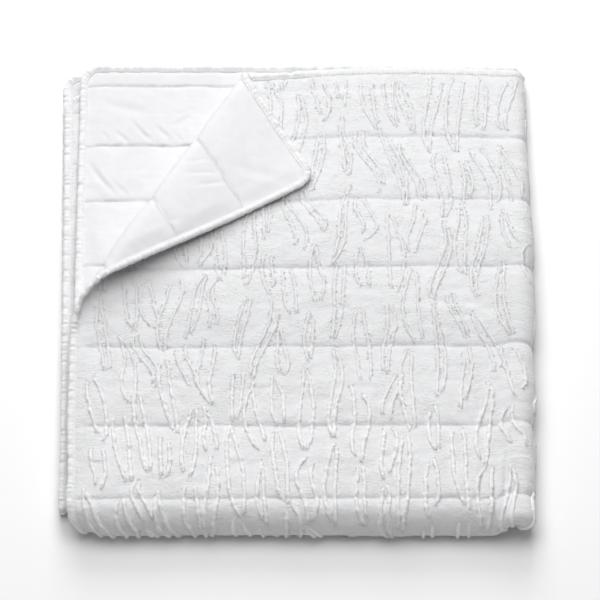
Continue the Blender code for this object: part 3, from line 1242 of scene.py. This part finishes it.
@dataclass
class QuiltedSheet:
    """One of the two visible cloths of the quilted bedspread.

    Args:
        name: The piece's name.
        side: The side of the cloth that it is.
        node: The solid that it stands for.
        slot: The record's slot; not used.
        across_lines: Its grid lines across the cloth.
        along_lines: Its grid lines along the cloth.
        tuck: How far it reaches under the binding.
        lowest: The height that it doesn't go below.
    """

    name: str
    side: Side
    node: str
    slot: Slot
    across_lines: tuple[Stretch, ...]
    along_lines: tuple[Stretch, ...]
    tuck: float = 0.0035
    lowest: float = 0.0007

    def lines(self, start: float, stretches: tuple[Stretch, ...], seams: np.ndarray) -> np.ndarray:
        """Grid lines over stretches that each have their own pitch.

        Args:
            start: Where the first stretch starts.
            stretches: The stretches, in order.
            seams: The seams and ends, which always have a line.

        Returns:
            The places of the lines, in order.
        """
        last = stretches[-1].end
        fixed = [start, last]
        low = start
        for stretch in stretches:
            inner = seams[(seams > low) & (seams < stretch.end)]
            fixed.append(stretch.end)
            fixed.extend(inner)
            for distance in stretch.seam_lines:
                fixed.extend(inner + distance)
                fixed.extend(inner - distance)
            low = stretch.end
        fixed = np.unique(np.round(np.clip(fixed, start, last), 6))
        places = [fixed[:1]]
        for low, high in zip(fixed[:-1], fixed[1:]):
            pitch = next(stretch.pitch for stretch in stretches if high <= stretch.end + 1e-6)
            count = max(1, math.ceil((high - low) / pitch - 0.2))
            places.append(np.linspace(low, high, count + 1)[1:])
        return np.concatenate(places)

    def build(
        self, cloth: FoldedCloth, relief: Relief, layout: StripLayout, material: bpy.types.Material
    ) -> bpy.types.Object:
        """Builds the sheet.

        Args:
            cloth: The folded cloth.
            relief: The height of its surface.
            layout: The strips that gather the face.
            material: Its finish.

        Returns:
            The sheet.
        """
        start = cloth.binding - self.tuck
        ends = np.array([cloth.binding, cloth.width - cloth.binding])
        columns = self.lines(start, self.across_lines, ends)
        rows = self.lines(start, self.along_lines, cloth.seams)
        square_along, square_across = np.meshgrid(rows, columns, indexing="ij")
        across, along = cloth.rounded(square_across, square_along)
        middle, normals, _, _ = cloth.frame_at(across, along)
        height = relief.height(self.side, square_across, square_along, middle[..., 1])
        # The seam attribute carries the painted shade of the seam grooves and of the groove beside the
        # binding.
        marks = {"seam": relief.painted_seam_shade(self.side, square_across, square_along)}
        if self.side is Side.FACE:
            marks["gather"] = layout.inside(square_across, square_along)
        places = middle + normals * (self.side.value * height)[..., None]
        places[..., 2] = np.maximum(places[..., 2], self.lowest)
        flat = np.stack((across, along), axis=-1)
        if self.side is Side.BACK:
            places = places[:, ::-1]
            flat = flat[:, ::-1]
        piece = Grid(self.name, places, flat, marks=marks).build()
        piece.data.materials.append(material)
        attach(piece, "root")
        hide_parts(self.node)
        LOG.info("%s: %d faces", self.name, len(piece.data.polygons))
        return piece


@dataclass
class BoundEdge:
    """The strip folded round all four edges, plump and puckered.

    Args:
        cloth: The folded cloth.
        pitch: The pitch of its points round the cloth.
        pucker_pitch: The pitch of its puckers.
        plump: How far its middle stands over the cloth's.
        scallop: How far its puckers move its outer edge.
        lowest: The height that it doesn't go below.
        noise: The unevenness of its puckers.
    """

    cloth: FoldedCloth
    pitch: float = 0.0018
    pucker_pitch: float = 0.0066
    plump: float = 0.0032
    scallop: float = 0.0007
    lowest: float = 0.0003
    noise: Unevenness = field(default_factory=lambda: Unevenness(51))

    def edge_walk(self) -> tuple[np.ndarray, np.ndarray]:
        """Stations round the square-cornered flat cloth.

        Returns:
            Places at the cloth's edge, and the way into the cloth at each.
        """
        width, length = self.cloth.width, self.cloth.length
        corners = ((0.0, 0.0), (width, 0.0), (width, length), (0.0, length))
        places = []
        for start, end in zip(corners, corners[1:] + corners[:1]):
            start, end = np.array(start), np.array(end)
            count = round(float(np.abs(end - start).sum()) / self.pitch)
            share = np.linspace(0.0, 1.0, count, endpoint=False)[:, None]
            places.append(start + (end - start) * share)
        edge = np.concatenate(places)
        return edge, self.inward(edge)

    def inward(self, edge: np.ndarray) -> np.ndarray:
        """The way into the square-cornered cloth.

        Args:
            edge: Places at its edge, as rows of across and along.

        Returns:
            The way at each, with 1 as its longer part.
        """
        size = np.array((self.cloth.width, self.cloth.length))
        corner = self.cloth.corner
        near = np.clip(edge, corner, size - corner)
        way = near - edge
        return way / np.maximum(np.abs(way).max(axis=1, keepdims=True), 1e-9)

    def section(self) -> tuple[tuple[float, float], ...]:
        """The strip's section, from its inner lip over its crown, round the edge and back.

        Returns:
            Shares of its width in from the edge, and of its height.
        """
        lip = ((1.0, 0.26), (0.93, 0.48), (0.85, 0.36))
        upper = lip + ((0.70, 0.84), (0.45, 1.0), (0.20, 0.88), (0.04, 0.52))
        lower = tuple((share, -height) for share, height in upper[::-1])
        return upper + ((-0.02, 0.0),) + lower

    def build(self, material: bpy.types.Material) -> bpy.types.Object:
        """Builds the strip.

        Args:
            material: Its finish.

        Returns:
            The strip.
        """
        cloth = self.cloth
        edge, inward = self.edge_walk()
        walked = np.arange(len(edge)) * self.pitch
        ring, flats = [], []
        for share, height in self.section():
            square = edge + inward * cloth.binding * share
            across, along = cloth.rounded(square[:, 0], square[:, 1])
            middle, normals, _, _ = cloth.frame_at(across, along)
            side = 30.0 if height > 0 else 60.0
            pleat = 1 - 2 * np.abs(self.noise.at(walked / self.pucker_pitch, side + 0.5 * share))
            fine = self.noise.at(walked / 0.0032, 90.0 + side + share)
            outer = 1.0 if share < 0.5 else 0.45
            fullness = self.fullness(across, along)
            lift = self.plump * fullness * height * (1 + outer * (0.42 * pleat + 0.14 * fine))
            sway = self.scallop * (1 - share) * (pleat - 0.3)
            out = middle + normals * lift[:, None] + self.edge_way(across, along, inward) * sway[:, None]
            out[:, 2] = np.maximum(out[:, 2], self.lowest)
            ring.append(out)
            flats.append(np.stack((walked, np.full(len(walked), share * cloth.binding)), axis=1))
        places = np.stack(ring, axis=1)
        piece = Grid("bound_edge", places, np.stack(flats, axis=1), True, True).build()
        piece.data.materials.append(material)
        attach(piece, "root")
        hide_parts("edge_binding")
        LOG.info("bound_edge: %d faces", len(piece.data.polygons))
        return piece

    def fullness(self, across: np.ndarray, along: np.ndarray) -> np.ndarray:
        """How plump the strip stands: flat along the right half of the top layer's rear edge.

        Args:
            across: Places across the flat cloth.
            along: Places along it.

        Returns:
            A share of its full height.
        """
        at_rear = (along < self.cloth.corner) & (across < self.cloth.upper_width + 0.02)
        return 1 - 0.68 * np.where(at_rear, smooth_step((across - 0.27) / 0.06), 0.0)

    def edge_way(self, across: np.ndarray, along: np.ndarray, inward: np.ndarray) -> np.ndarray:
        """The way out of the cloth's edge in the packet."""
        _, _, way_across, way_along = self.cloth.frame_at(across, along)
        return -(way_across * inward[:, :1] + way_along * inward[:, 1:])


@dataclass
class YarnLine:
    """One line of clipped yarn, as places on the flat cloth.

    Args:
        across: Its places across the cloth.
        along: Its places along it.
        shows: Whether it lies where the face shows from above or in front.
    """

    across: np.ndarray
    along: np.ndarray
    shows: bool


@dataclass
class ClippedYarn:
    """The fuzzy lines of clipped yarn along the strips, with rungs in some of them.

    Args:
        cloth: The folded cloth.
        relief: The height of the face's surface.
        layout: Where the strips lie.
        half_width: Half a line's width.
        height: A line's height.
        open_tip: The most by which a line stops short of its strip's tip.
        shown_pitch: The pitch of its points where it shows.
        hidden_pitch: Their pitch elsewhere.
        rung_pitch: The pitch of the rungs.
        rung_radius: Half a rung's thickness.
        tuft: The length of its loose fibres.
        fibres: How many stand out at each of a line's points.
        fibre_base: Half a fibre's thickness at its root, as a share of its length.
        clear_of_edge: How far the lines stay from the binding.
        past_crest: How far past the roll's crest the face still shows.
        flat_share: The share of its height that a yarn keeps on the flat top layer.
        covered_share: The share that it keeps under another layer.
        full_from: The place along the cloth from which it stands fuller, towards the roll.
        full_over: The distance over which it reaches its full height.
        lowest: The height that it doesn't go below.
    """

    cloth: FoldedCloth
    relief: Relief
    layout: StripLayout
    half_width: float = 0.0026
    height: float = 0.0034
    open_tip: float = 0.016
    shown_pitch: float = 0.0021
    hidden_pitch: float = 0.0065
    rung_pitch: float = 0.0044
    rung_radius: float = 0.00030
    tuft: float = 0.0033
    fibres: int = 4
    fibre_base: float = 0.16
    clear_of_edge: float = 0.0025
    past_crest: float = 0.078
    flat_share: float = 0.42
    covered_share: float = 0.35
    full_from: float = 0.38
    full_over: float = 0.20
    lowest: float = 0.0002

    def shows(self, across: float, along: float) -> bool:
        """Whether a place lies on the top layer, the front roll or the right-hand fold."""
        cloth = self.cloth
        return across < cloth.upper_width + cloth.fold_width and along < cloth.crest + self.past_crest

    def lines(self, shown: bool) -> list[YarnLine]:
        """The yarn lines of all the strips.

        Args:
            shown: Whether to give the lines that show, or the others.

        Returns:
            The lines, two to a strip.
        """
        layout = self.layout
        edge = self.cloth.binding + self.clear_of_edge
        far_across = self.cloth.width - edge
        random = np.random.default_rng(layout.seed + 9)
        found = []
        for number, strip in enumerate(layout.strips):
            trims = random.uniform(0.0, self.open_tip, 4)
            low, high = max(strip.start, edge), min(strip.end, self.cloth.length - edge)
            shows = self.shows(strip.chain, (low + high) / 2)
            if high - low < 0.010 or shows != shown:
                continue
            pitch = self.shown_pitch if shows else self.hidden_pitch
            for sign, start_trim, end_trim in ((-1.0, trims[0], trims[1]), (1.0, trims[2], trims[3])):
                start, end = low + start_trim, max(high - end_trim, low + start_trim + 0.010)
                along = np.linspace(start, end, max(4, round((end - start) / pitch)))
                middle = strip.middle(along, layout.sway)
                kinks = layout.wobble.at(along / 0.0085, number * 2.0 + sign)
                across = middle + sign * strip.half_width(along) + 0.0008 * kinks
                inside = (across > edge) & (across < far_across)
                if inside.sum() > 3:
                    found.append(YarnLine(across[inside], along[inside], shows))
        return found

    def pressed(self, across: np.ndarray, along: np.ndarray) -> np.ndarray:
        """How much of its height a yarn keeps, and how much painted light its colour gets: least under
        another layer, most on the roll.

        Args:
            across: Places across the flat cloth.
            along: Places along it.

        Returns:
            A share at each place.
        """
        cloth = self.cloth
        covered = (along > cloth.crest + self.past_crest) | (across > cloth.upper_width + cloth.fold_width)
        rise = smooth_step((along - self.full_from) / self.full_over)
        share = np.where(covered, self.covered_share, self.flat_share + (1 - self.flat_share) * rise)
        return np.where(cloth.past_turn(across, along) > 0.02, np.minimum(share, 0.6), share)

    def surface(self, across: np.ndarray, along: np.ndarray) -> tuple[np.ndarray, ...]:
        """The face's surface.

        Args:
            across: Places across the flat cloth.
            along: Places along it.

        Returns:
            Places on it, with their normals and their directions across and along.
        """
        middle, normals, way_across, way_along = self.cloth.frame_at(across, along)
        height = self.relief.height(Side.FACE, across, along, middle[..., 1])
        return middle + normals * height[..., None], normals, way_across, way_along

    def cords(self, name: str, shown: bool, material: bpy.types.Material) -> bpy.types.Object:
        """Builds yarn lines as clumpy raised cords.

        Args:
            name: The piece's name.
            shown: Whether to build the lines that show or the others.
            material: Their finish.

        Returns:
            The piece.
        """
        section = ((-1.0, -0.2), (-0.85, 0.55), (0.0, 1.0), (0.85, 0.55), (1.0, -0.2))
        lines = self.lines(shown)
        random = np.random.default_rng(self.layout.seed + (2 if shown else 3))
        counts = np.array([len(line.across) for line in lines])
        across = np.concatenate([line.across for line in lines])
        along = np.concatenate([line.along for line in lines])
        steps = np.concatenate([np.minimum(np.arange(n), np.arange(n)[::-1]) for n in counts])
        taper = np.clip((steps + 0.4) / 2.5, 0.15, 1.0)
        clump = random.uniform(0.50, 1.25, len(across))
        spread = random.uniform(0.62, 1.18, len(across))
        base, normals, way_across, _ = self.surface(across, along)
        press = self.pressed(across, along)
        tall = self.height * taper * clump * press
        wide = self.half_width * taper**0.5 * spread * (0.45 + 0.80 * press)
        ring = []
        for off, lift in section:
            out = base + normals * (tall * lift)[:, None] + way_across * (wide * off)[:, None]
            out[:, 2] = np.maximum(out[:, 2], self.lowest * (1 + clump))
            ring.append(out)
        places = np.stack(ring, axis=1)
        starts = np.concatenate(([0], np.cumsum(counts)))
        inner = np.concatenate([np.arange(a, b - 1) for a, b in zip(starts[:-1], starts[1:])])
        points = len(section)
        corner = (inner[:, None] * points + np.arange(points - 1)).ravel()
        faces = np.stack((corner, corner + points, corner + points + 1, corner + 1), axis=1)
        # This mark paints the standing yarn on the roll brighter, as painted light.
        cord = mesh_object(name, places.reshape(-1, 3), faces, fresh=np.repeat(press, points))
        return self.dressed(cord, material)

    def tufts(self, material: bpy.types.Material) -> bpy.types.Object:
        """Builds the loose tufts that stand out of the shown lines.

        Args:
            material: Their finish.

        Returns:
            The piece.
        """
        lines = self.lines(True)
        random = np.random.default_rng(self.layout.seed + 4)
        across = np.repeat(np.concatenate([line.across for line in lines]), self.fibres)
        along = np.repeat(np.concatenate([line.along for line in lines]), self.fibres)
        count = len(across)
        along = along + random.uniform(-0.001, 0.001, count)
        base, normals, way_across, way_along = self.surface(across, along)
        press = self.pressed(across, along)
        side = random.uniform(-1.0, 1.0, count)
        slant = random.uniform(-0.8, 0.8, count)
        base = base + way_across * (side * self.half_width * 0.7)[:, None]
        root = base + normals * (self.height * 0.35 * press)[:, None]
        way = normals * (0.75 * press)[:, None] + way_across * (side * 1.1)[:, None]
        way = way + way_along * slant[:, None]
        tip = root + way * (self.tuft * random.uniform(0.4, 1.1, count))[:, None]
        radius = self.tuft * self.fibre_base
        corners = [
            root + way_along * radius,
            root - way_along * radius * 0.5 + way_across * radius,
            root - way_along * radius * 0.5 - way_across * radius,
            tip,
        ]
        places = np.stack(corners, axis=1)
        places[..., 2] = np.maximum(places[..., 2], self.lowest * (1 + np.abs(side))[:, None])
        pattern = np.array(((0, 1, 3), (1, 2, 3), (2, 0, 3)))
        faces = (pattern[None] + np.arange(count)[:, None, None] * 4).reshape(-1, 3)
        # This mark paints the standing tufts on the roll brighter, as painted light.
        fresh = np.repeat(press, len(corners))
        return self.dressed(mesh_object("yarn_tufts", places.reshape(-1, 3), faces, fresh=fresh), material)

    def rungs(self, material: bpy.types.Material) -> bpy.types.Object:
        """Builds the rungs between the two lines of the laddered strips that show.

        Args:
            material: Their finish.

        Returns:
            The piece.
        """
        edge = self.cloth.binding + 0.004
        left, right, rows = [], [], []
        for strip in self.layout.strips:
            if not strip.laddered or not self.shows(strip.chain, (strip.start + strip.end) / 2):
                continue
            along = np.arange(max(strip.start, edge) + 0.006, strip.end - 0.006, self.rung_pitch)
            along = along + self.layout.wobble.at(along / 0.003, strip.chain * 50) * 0.0008
            middle = strip.middle(along, self.layout.sway)
            half = strip.half_width(along)
            wanted = (half > 0.002) & (middle - half > edge)
            left.append((middle - half)[wanted])
            right.append((middle + half)[wanted])
            rows.append(along[wanted])
        left, right, along = (np.concatenate(part) for part in (left, right, rows))
        stations = []
        for share, thick in ((0.0, 0.7), (0.35, 1.0), (0.65, 1.0), (1.0, 0.7)):
            base, normals, _, way_along = self.surface(left + (right - left) * share, along)
            for off, lift in ((-1.0, -0.3), (0.0, 1.0), (1.0, -0.3)):
                reach = self.rung_radius * thick * 1.4
                rise = lift * self.rung_radius * thick
                stations.append(base + way_along * (off * reach) + normals * rise)
        places = np.stack(stations, axis=1)
        pattern = []
        for station in range(3):
            for point in range(2):
                corner = station * 3 + point
                pattern.append((corner, corner + 1, corner + 4, corner + 3))
        faces = (np.array(pattern)[None] + np.arange(len(along))[:, None, None] * 12).reshape(-1, 4)
        return self.dressed(mesh_object("yarn_rungs", places.reshape(-1, 3), faces), material)

    def dressed(self, piece: bpy.types.Object, material: bpy.types.Material) -> bpy.types.Object:
        """Gives a piece its finish and body.

        Args:
            piece: The piece.
            material: Its finish.

        Returns:
            The same piece.
        """
        piece.data.materials.append(material)
        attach(piece, "root")
        LOG.info("%s: %d faces", piece.name, len(piece.data.polygons))
        return piece


@dataclass
class SewnThread:
    """Rows of short stitches along the quilting seams and the binding.

    Args:
        cloth: The folded cloth.
        relief: The height of the sheets' surfaces.
        stitch: The length of a stitch.
        pitch: The distance from one stitch to the next.
        radius: Half the thread's thickness.
        binding_inset: How far in from the edge the binding's own stitches run.
        binding_height: How high they lie over the cloth's middle.
    """

    cloth: FoldedCloth
    relief: Relief
    stitch: float = 0.0030
    pitch: float = 0.0042
    radius: float = 0.00038
    binding_inset: float = 0.0085
    binding_height: float = 0.0013

    def flat_rows(self) -> tuple[np.ndarray, np.ndarray, np.ndarray]:
        """The stitches' places on the square-cornered flat cloth.

        Returns:
            Their middles, their directions, and whether each lies on the binding.
        """
        cloth = self.cloth
        run = np.arange(cloth.binding + 0.002, cloth.width - cloth.binding - 0.002, self.pitch)
        middles, steps = [], []
        for seam in cloth.seams[1:-1]:
            sway = self.relief.seam_sway(run, np.full(len(run), seam))
            middles.append(np.stack((run, seam + sway), axis=1))
            steps.append(np.tile((1.0, 0.0), (len(run), 1)))
        sewn = sum(len(part) for part in middles)
        inset = self.binding_inset
        for across in (inset, cloth.width - inset):
            run = np.arange(inset, cloth.length - inset, self.pitch)
            middles.append(np.stack((np.full(len(run), across), run), axis=1))
            steps.append(np.tile((0.0, 1.0), (len(run), 1)))
        for along in (inset, cloth.length - inset):
            run = np.arange(inset, cloth.width - inset, self.pitch)
            middles.append(np.stack((run, np.full(len(run), along)), axis=1))
            steps.append(np.tile((1.0, 0.0), (len(run), 1)))
        flat = np.concatenate(middles)
        return flat, np.concatenate(steps), np.arange(len(flat)) >= sewn

    def rows(self, side: Side, material: bpy.types.Material) -> bpy.types.Object:
        """Builds one side's stitches.

        Args:
            side: The face or the reverse side.
            material: The thread's finish.

        Returns:
            The piece.
        """
        flat, step, on_binding = self.flat_rows()
        rings = []
        for share, thick in ((-0.5, 0.15), (-0.28, 1.0), (0.28, 1.0), (0.5, 0.15)):
            square = flat + step * (share * self.stitch)
            across, along = self.cloth.rounded(square[:, 0], square[:, 1])
            middle, normals, way_across, way_along = self.cloth.frame_at(across, along)
            base = self.relief.height(side, square[:, 0], square[:, 1], middle[:, 1])
            base = np.where(on_binding, self.binding_height, base) + self.radius * (1.1 * thick - 0.4)
            centre = middle + normals * (side.value * base)[:, None]
            sideways = (way_along * step[:, :1] - way_across * step[:, 1:]) * side.value
            for turn in range(3):
                angle = 2 * math.pi / 3 * turn
                way = normals * (side.value * math.cos(angle)) + sideways * math.sin(angle)
                point = centre + way * self.radius * thick
                point[:, 2] = np.maximum(point[:, 2], 0.0001)
                rings.append(point)
        places = np.stack(rings, axis=1).reshape(-1, 3)
        pattern = [(0, 2, 1), (9, 10, 11)]
        for ring in range(3):
            for turn in range(3):
                corner, neighbour = ring * 3 + turn, ring * 3 + (turn + 1) % 3
                pattern.append((corner, neighbour, neighbour + 3))
                pattern.append((corner, neighbour + 3, corner + 3))
        starts = np.arange(len(flat))[:, None, None] * 12
        faces = (np.array(pattern)[None] + starts).reshape(-1, 3)
        name = "face_stitches" if side is Side.FACE else "reverse_stitches"
        piece = mesh_object(name, places, faces)
        piece.data.materials.append(material)
        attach(piece, "root")
        LOG.info("%s: %d stitches", name, len(flat))
        return piece


@dataclass
class Studio:
    """The camera at the photograph's angle, a pale floor and soft light.

    Args:
        elevation: The camera's angle over the floor, in degrees.
        distance: How far the camera stands off.
        view_width: The width that it sees there.
        aim: The place that it looks at.
        floor_size: The floor's side.
        floor_drop: How far the floor lies under the bedspread.
        sky: The strength of the even sky.
    """

    elevation: float = 60.0
    distance: float = 30.0
    view_width: float = 0.7663
    aim: tuple[float, float, float] = (0.0039, -0.0084, 0.030)
    floor_size: float = 30.0
    floor_drop: float = 0.0004
    sky: float = 0.185

    def camera(self) -> None:
        """Adds the camera."""
        lens = bpy.data.cameras.new("camera")
        lens.sensor_width = 36.0
        lens.lens = lens.sensor_width * self.distance / self.view_width
        lens.clip_end = 200.0
        camera = bpy.data.objects.new("camera", lens)
        angle = math.radians(self.elevation)
        camera.location = (
            self.aim[0],
            self.aim[1] - self.distance * math.cos(angle),
            self.aim[2] + self.distance * math.sin(angle),
        )
        camera.rotation_euler = (math.pi / 2 - angle, 0.0, 0.0)
        bpy.context.scene.collection.objects.link(camera)
        bpy.context.scene.camera = camera

    def floor(self) -> None:
        """Adds the pale floor."""
        bpy.ops.object.select_all(action="DESELECT")
        bpy.ops.mesh.primitive_plane_add(size=self.floor_size, location=(0.0, 0.0, -self.floor_drop))
        floor = bpy.context.object
        floor.name = "floor"
        material = bpy.data.materials.new("floor_white")
        material.use_nodes = True
        shader = material.node_tree.nodes["Principled BSDF"]
        shader.inputs["Base Color"].default_value = (0.96, 0.96, 0.96, 1.0)
        shader.inputs["Roughness"].default_value = 0.9
        shader.inputs["Specular IOR Level"].default_value = 0.1
        floor.data.materials.append(material)

    def light(self, name: str, place: tuple[float, float, float], size: float, power: float) -> None:
        """Adds one soft square light that shines at the bedspread.

        Args:
            name: Its name.
            place: Where it hangs.
            size: Its side.
            power: Its power in watts.
        """
        lamp = bpy.data.lights.new(name, "AREA")
        lamp.size = size
        lamp.energy = power
        light = bpy.data.objects.new(name, lamp)
        light.location = place
        toward = -np.array(place) / np.linalg.norm(place)
        pitch = math.acos(-toward[2])
        light.rotation_euler = (pitch, 0.0, math.atan2(-toward[0], toward[1]))
        bpy.context.scene.collection.objects.link(light)

    def world(self) -> None:
        """Adds an even pale sky."""
        world = bpy.data.worlds.new("sky")
        world.use_nodes = True
        background = world.node_tree.nodes["Background"]
        background.inputs["Color"].default_value = (1.0, 1.0, 1.0, 1.0)
        background.inputs["Strength"].default_value = self.sky
        bpy.context.scene.world = world

    def build(self) -> None:
        """Adds everything round the bedspread."""
        self.camera()
        self.floor()
        self.light("rear_light", (-0.2, 3.2, 2.3), 2.1, 85.0)
        self.light("top_light", (-0.2, 0.5, 3.4), 3.0, 85.0)
        self.world()
        bpy.context.scene.view_settings.view_transform = "Standard"


FACE_LOOK = SewnLook(
    groove=0.0009,
    groove_width=0.0030,
    pucker=0.0013,
    pucker_pitch=0.0085,
    pucker_reach=0.014,
    ripple=0.0007,
    swell=0.0009,
    edge_groove=0.0009,
    edge_pucker=0.0008,
    creases=(
        Crease(0.351, 0.033, 0.105, 1.0, 0.0038, 0.0015),
        Crease(0.508, 0.640, 0.030, 84.0, 0.0036, 0.0016),
        Crease(0.524, 0.630, 0.042, 95.0, 0.0040, 0.0022),
        Crease(0.541, 0.638, 0.036, 86.0, 0.0036, 0.0024),
        Crease(0.556, 0.628, 0.044, 92.0, 0.0038, 0.0024),
        Crease(0.571, 0.640, 0.034, 84.0, 0.0034, 0.0020),
        Crease(0.120, 0.470, 0.030, 12.0, 0.0045, 0.0012),
        Crease(0.430, 0.585, 0.040, -8.0, 0.0045, 0.0011),
        Crease(0.300, 0.545, 0.035, 6.0, 0.0040, 0.0010),
    ),
)
REVERSE_LOOK = SewnLook(
    groove=0.0014,
    groove_width=0.0017,
    pucker=0.0021,
    pucker_pitch=0.0085,
    pucker_reach=0.010,
    ripple=0.00025,
    swell=0.0007,
    edge_groove=0.0009,
    edge_pucker=0.0006,
    creases=(
        Crease(0.034, 1.303, 0.007, -58.0, 0.0020, 0.0013),
        Crease(0.056, 1.301, 0.011, -42.0, 0.0026, 0.0017),
        Crease(0.079, 1.311, 0.015, -52.0, 0.0024, 0.0019),
        Crease(0.088, 1.302, 0.009, -36.0, 0.0020, 0.0014),
        Crease(0.109, 1.307, 0.012, -48.0, 0.0027, 0.0018),
        Crease(0.131, 1.299, 0.007, -60.0, 0.0020, 0.0013),
        Crease(0.060, 1.345, 0.030, -16.0, 0.0060, 0.0012),
        Crease(0.135, 1.325, 0.013, 35.0, 0.0035, 0.0014),
        Crease(0.024, 1.245, 0.020, -58.0, 0.0034, 0.0017),
        Crease(0.036, 1.228, 0.018, -50.0, 0.0030, 0.0018),
        Crease(0.055, 1.222, 0.014, -46.0, 0.0026, 0.0011),
        Crease(0.060, 0.125, 0.016, 70.0, 0.0028, 0.0012),
        Crease(0.080, 0.128, 0.018, 64.0, 0.0028, 0.0013),
        Crease(0.100, 0.124, 0.014, 72.0, 0.0026, 0.0011),
        Crease(0.045, 0.060, 0.035, 40.0, 0.0070, 0.0010),
    ),
)

FACE_COTTON = ClothFinish(
    name="face_cotton",
    bright=(0.83, 0.832, 0.84, 1.0),
    dim=(0.76, 0.763, 0.775, 1.0),
    thread_pitch=0.0006,
    weave_height=0.00005,
    crinkle_across=0.0105,
    crinkle_along=0.0034,
    crinkle_height=0.0011,
    rung_height=0.00016,
    pucker_size=0.0052,
    pucker_height=0.0011,
    # Painted shade along the seams and beside the binding.
    seam_shade_share=0.28,
)
BACKING_PERCALE = ClothFinish(
    name="backing_percale",
    bright=(0.805, 0.805, 0.82, 1.0),
    dim=(0.77, 0.77, 0.785, 1.0),
    thread_pitch=0.0004,
    weave_height=0.00004,
    crinkle_across=0.030,
    crinkle_along=0.020,
    crinkle_height=0.0006,
    # Painted shade along the seams and beside the binding.
    seam_shade_share=0.55,
)
BINDING_PERCALE = ClothFinish(
    name="binding_percale",
    bright=(0.86, 0.862, 0.868, 1.0),
    dim=(0.80, 0.803, 0.812, 1.0),
    thread_pitch=0.0004,
    weave_height=0.00004,
    crinkle_across=0.004,
    crinkle_along=0.006,
    crinkle_height=0.0004,
    pleat_height=0.00025,
)
CLIPPED_YARN = YarnFinish(
    name="clipped_yarn",
    bright=(0.95, 0.95, 0.955, 1.0),
    dim=(0.89, 0.893, 0.905, 1.0),
    # The duller colour of pressed yarn; the yarn on the roll is painted brighter, as painted light.
    flattened_dim=(0.80, 0.803, 0.813, 1.0),
    fibre=0.0011,
    height=0.0006,
)
SEWING_THREAD = YarnFinish(
    name="sewing_thread",
    bright=(0.85, 0.85, 0.86, 1.0),
    dim=(0.78, 0.785, 0.79, 1.0),
    flattened_dim=(0.82, 0.822, 0.83, 1.0),
    fibre=0.0006,
    height=0.0001,
)


def quilted_sheets(cloth: FoldedCloth) -> tuple[QuiltedSheet, QuiltedSheet]:
    """The face and the reverse, each with the finest grid where it shows.

    Args:
        cloth: The folded cloth.

    Returns:
        The two sheets, ready to be built.
    """
    fold_end = cloth.upper_width + cloth.fold_width
    start = QuiltedSheet.tuck
    far_across = cloth.width - cloth.binding + start
    far_along = cloth.length - cloth.binding + start
    near_seam = (0.0012, 0.0026, 0.0048, 0.0080)
    face = QuiltedSheet(
        "face_sheet",
        Side.FACE,
        "face_panel",
        Slot.FACE,
        (
            Stretch(cloth.upper_width, 0.0030),
            Stretch(fold_end, 0.0026),
            Stretch(far_across, 0.0090),
        ),
        (Stretch(cloth.crest + 0.095, 0.0038, near_seam), Stretch(far_along, 0.0095, (0.004,))),
    )
    reverse = QuiltedSheet(
        "reverse_sheet",
        Side.BACK,
        "backing_panel",
        Slot.BACKING,
        (
            Stretch(0.300, 0.0025),
            Stretch(cloth.upper_width, 0.0090),
            Stretch(fold_end, 0.0030),
            Stretch(far_across, 0.0110),
        ),
        (
            Stretch(0.400, 0.0030, near_seam),
            Stretch(cloth.crest, 0.0090, (0.004,)),
            Stretch(cloth.crest + 0.130, 0.0040),
            Stretch(1.050, 0.0090, (0.004,)),
            Stretch(far_along, 0.0030, near_seam),
        ),
    )
    return face, reverse


def main() -> None:
    """Builds the bedspread's pieces in order, then the studio."""
    cloth = FoldedCloth()
    relief = Relief(cloth, {Side.FACE: FACE_LOOK, Side.BACK: REVERSE_LOOK})
    layout = StripLayout(cloth)
    face, reverse = quilted_sheets(cloth)
    face.build(cloth, relief, layout, FACE_COTTON.material())
    reverse.build(cloth, relief, layout, BACKING_PERCALE.material())
    BoundEdge(cloth).build(BINDING_PERCALE.material())
    yarn = ClippedYarn(cloth, relief, layout)
    yarn_finish = CLIPPED_YARN.material()
    yarn.cords("yarn_lines_shown", True, yarn_finish)
    yarn.cords("yarn_lines_hidden", False, yarn_finish)
    yarn.tufts(yarn_finish)
    yarn.rungs(yarn_finish)
    thread = SewnThread(cloth, relief)
    thread_finish = SEWING_THREAD.material()
    thread.rows(Side.FACE, thread_finish)
    thread.rows(Side.BACK, thread_finish)
    Studio().build()


if __name__ == "__main__":
    logging.basicConfig(level=logging.INFO)
    main()
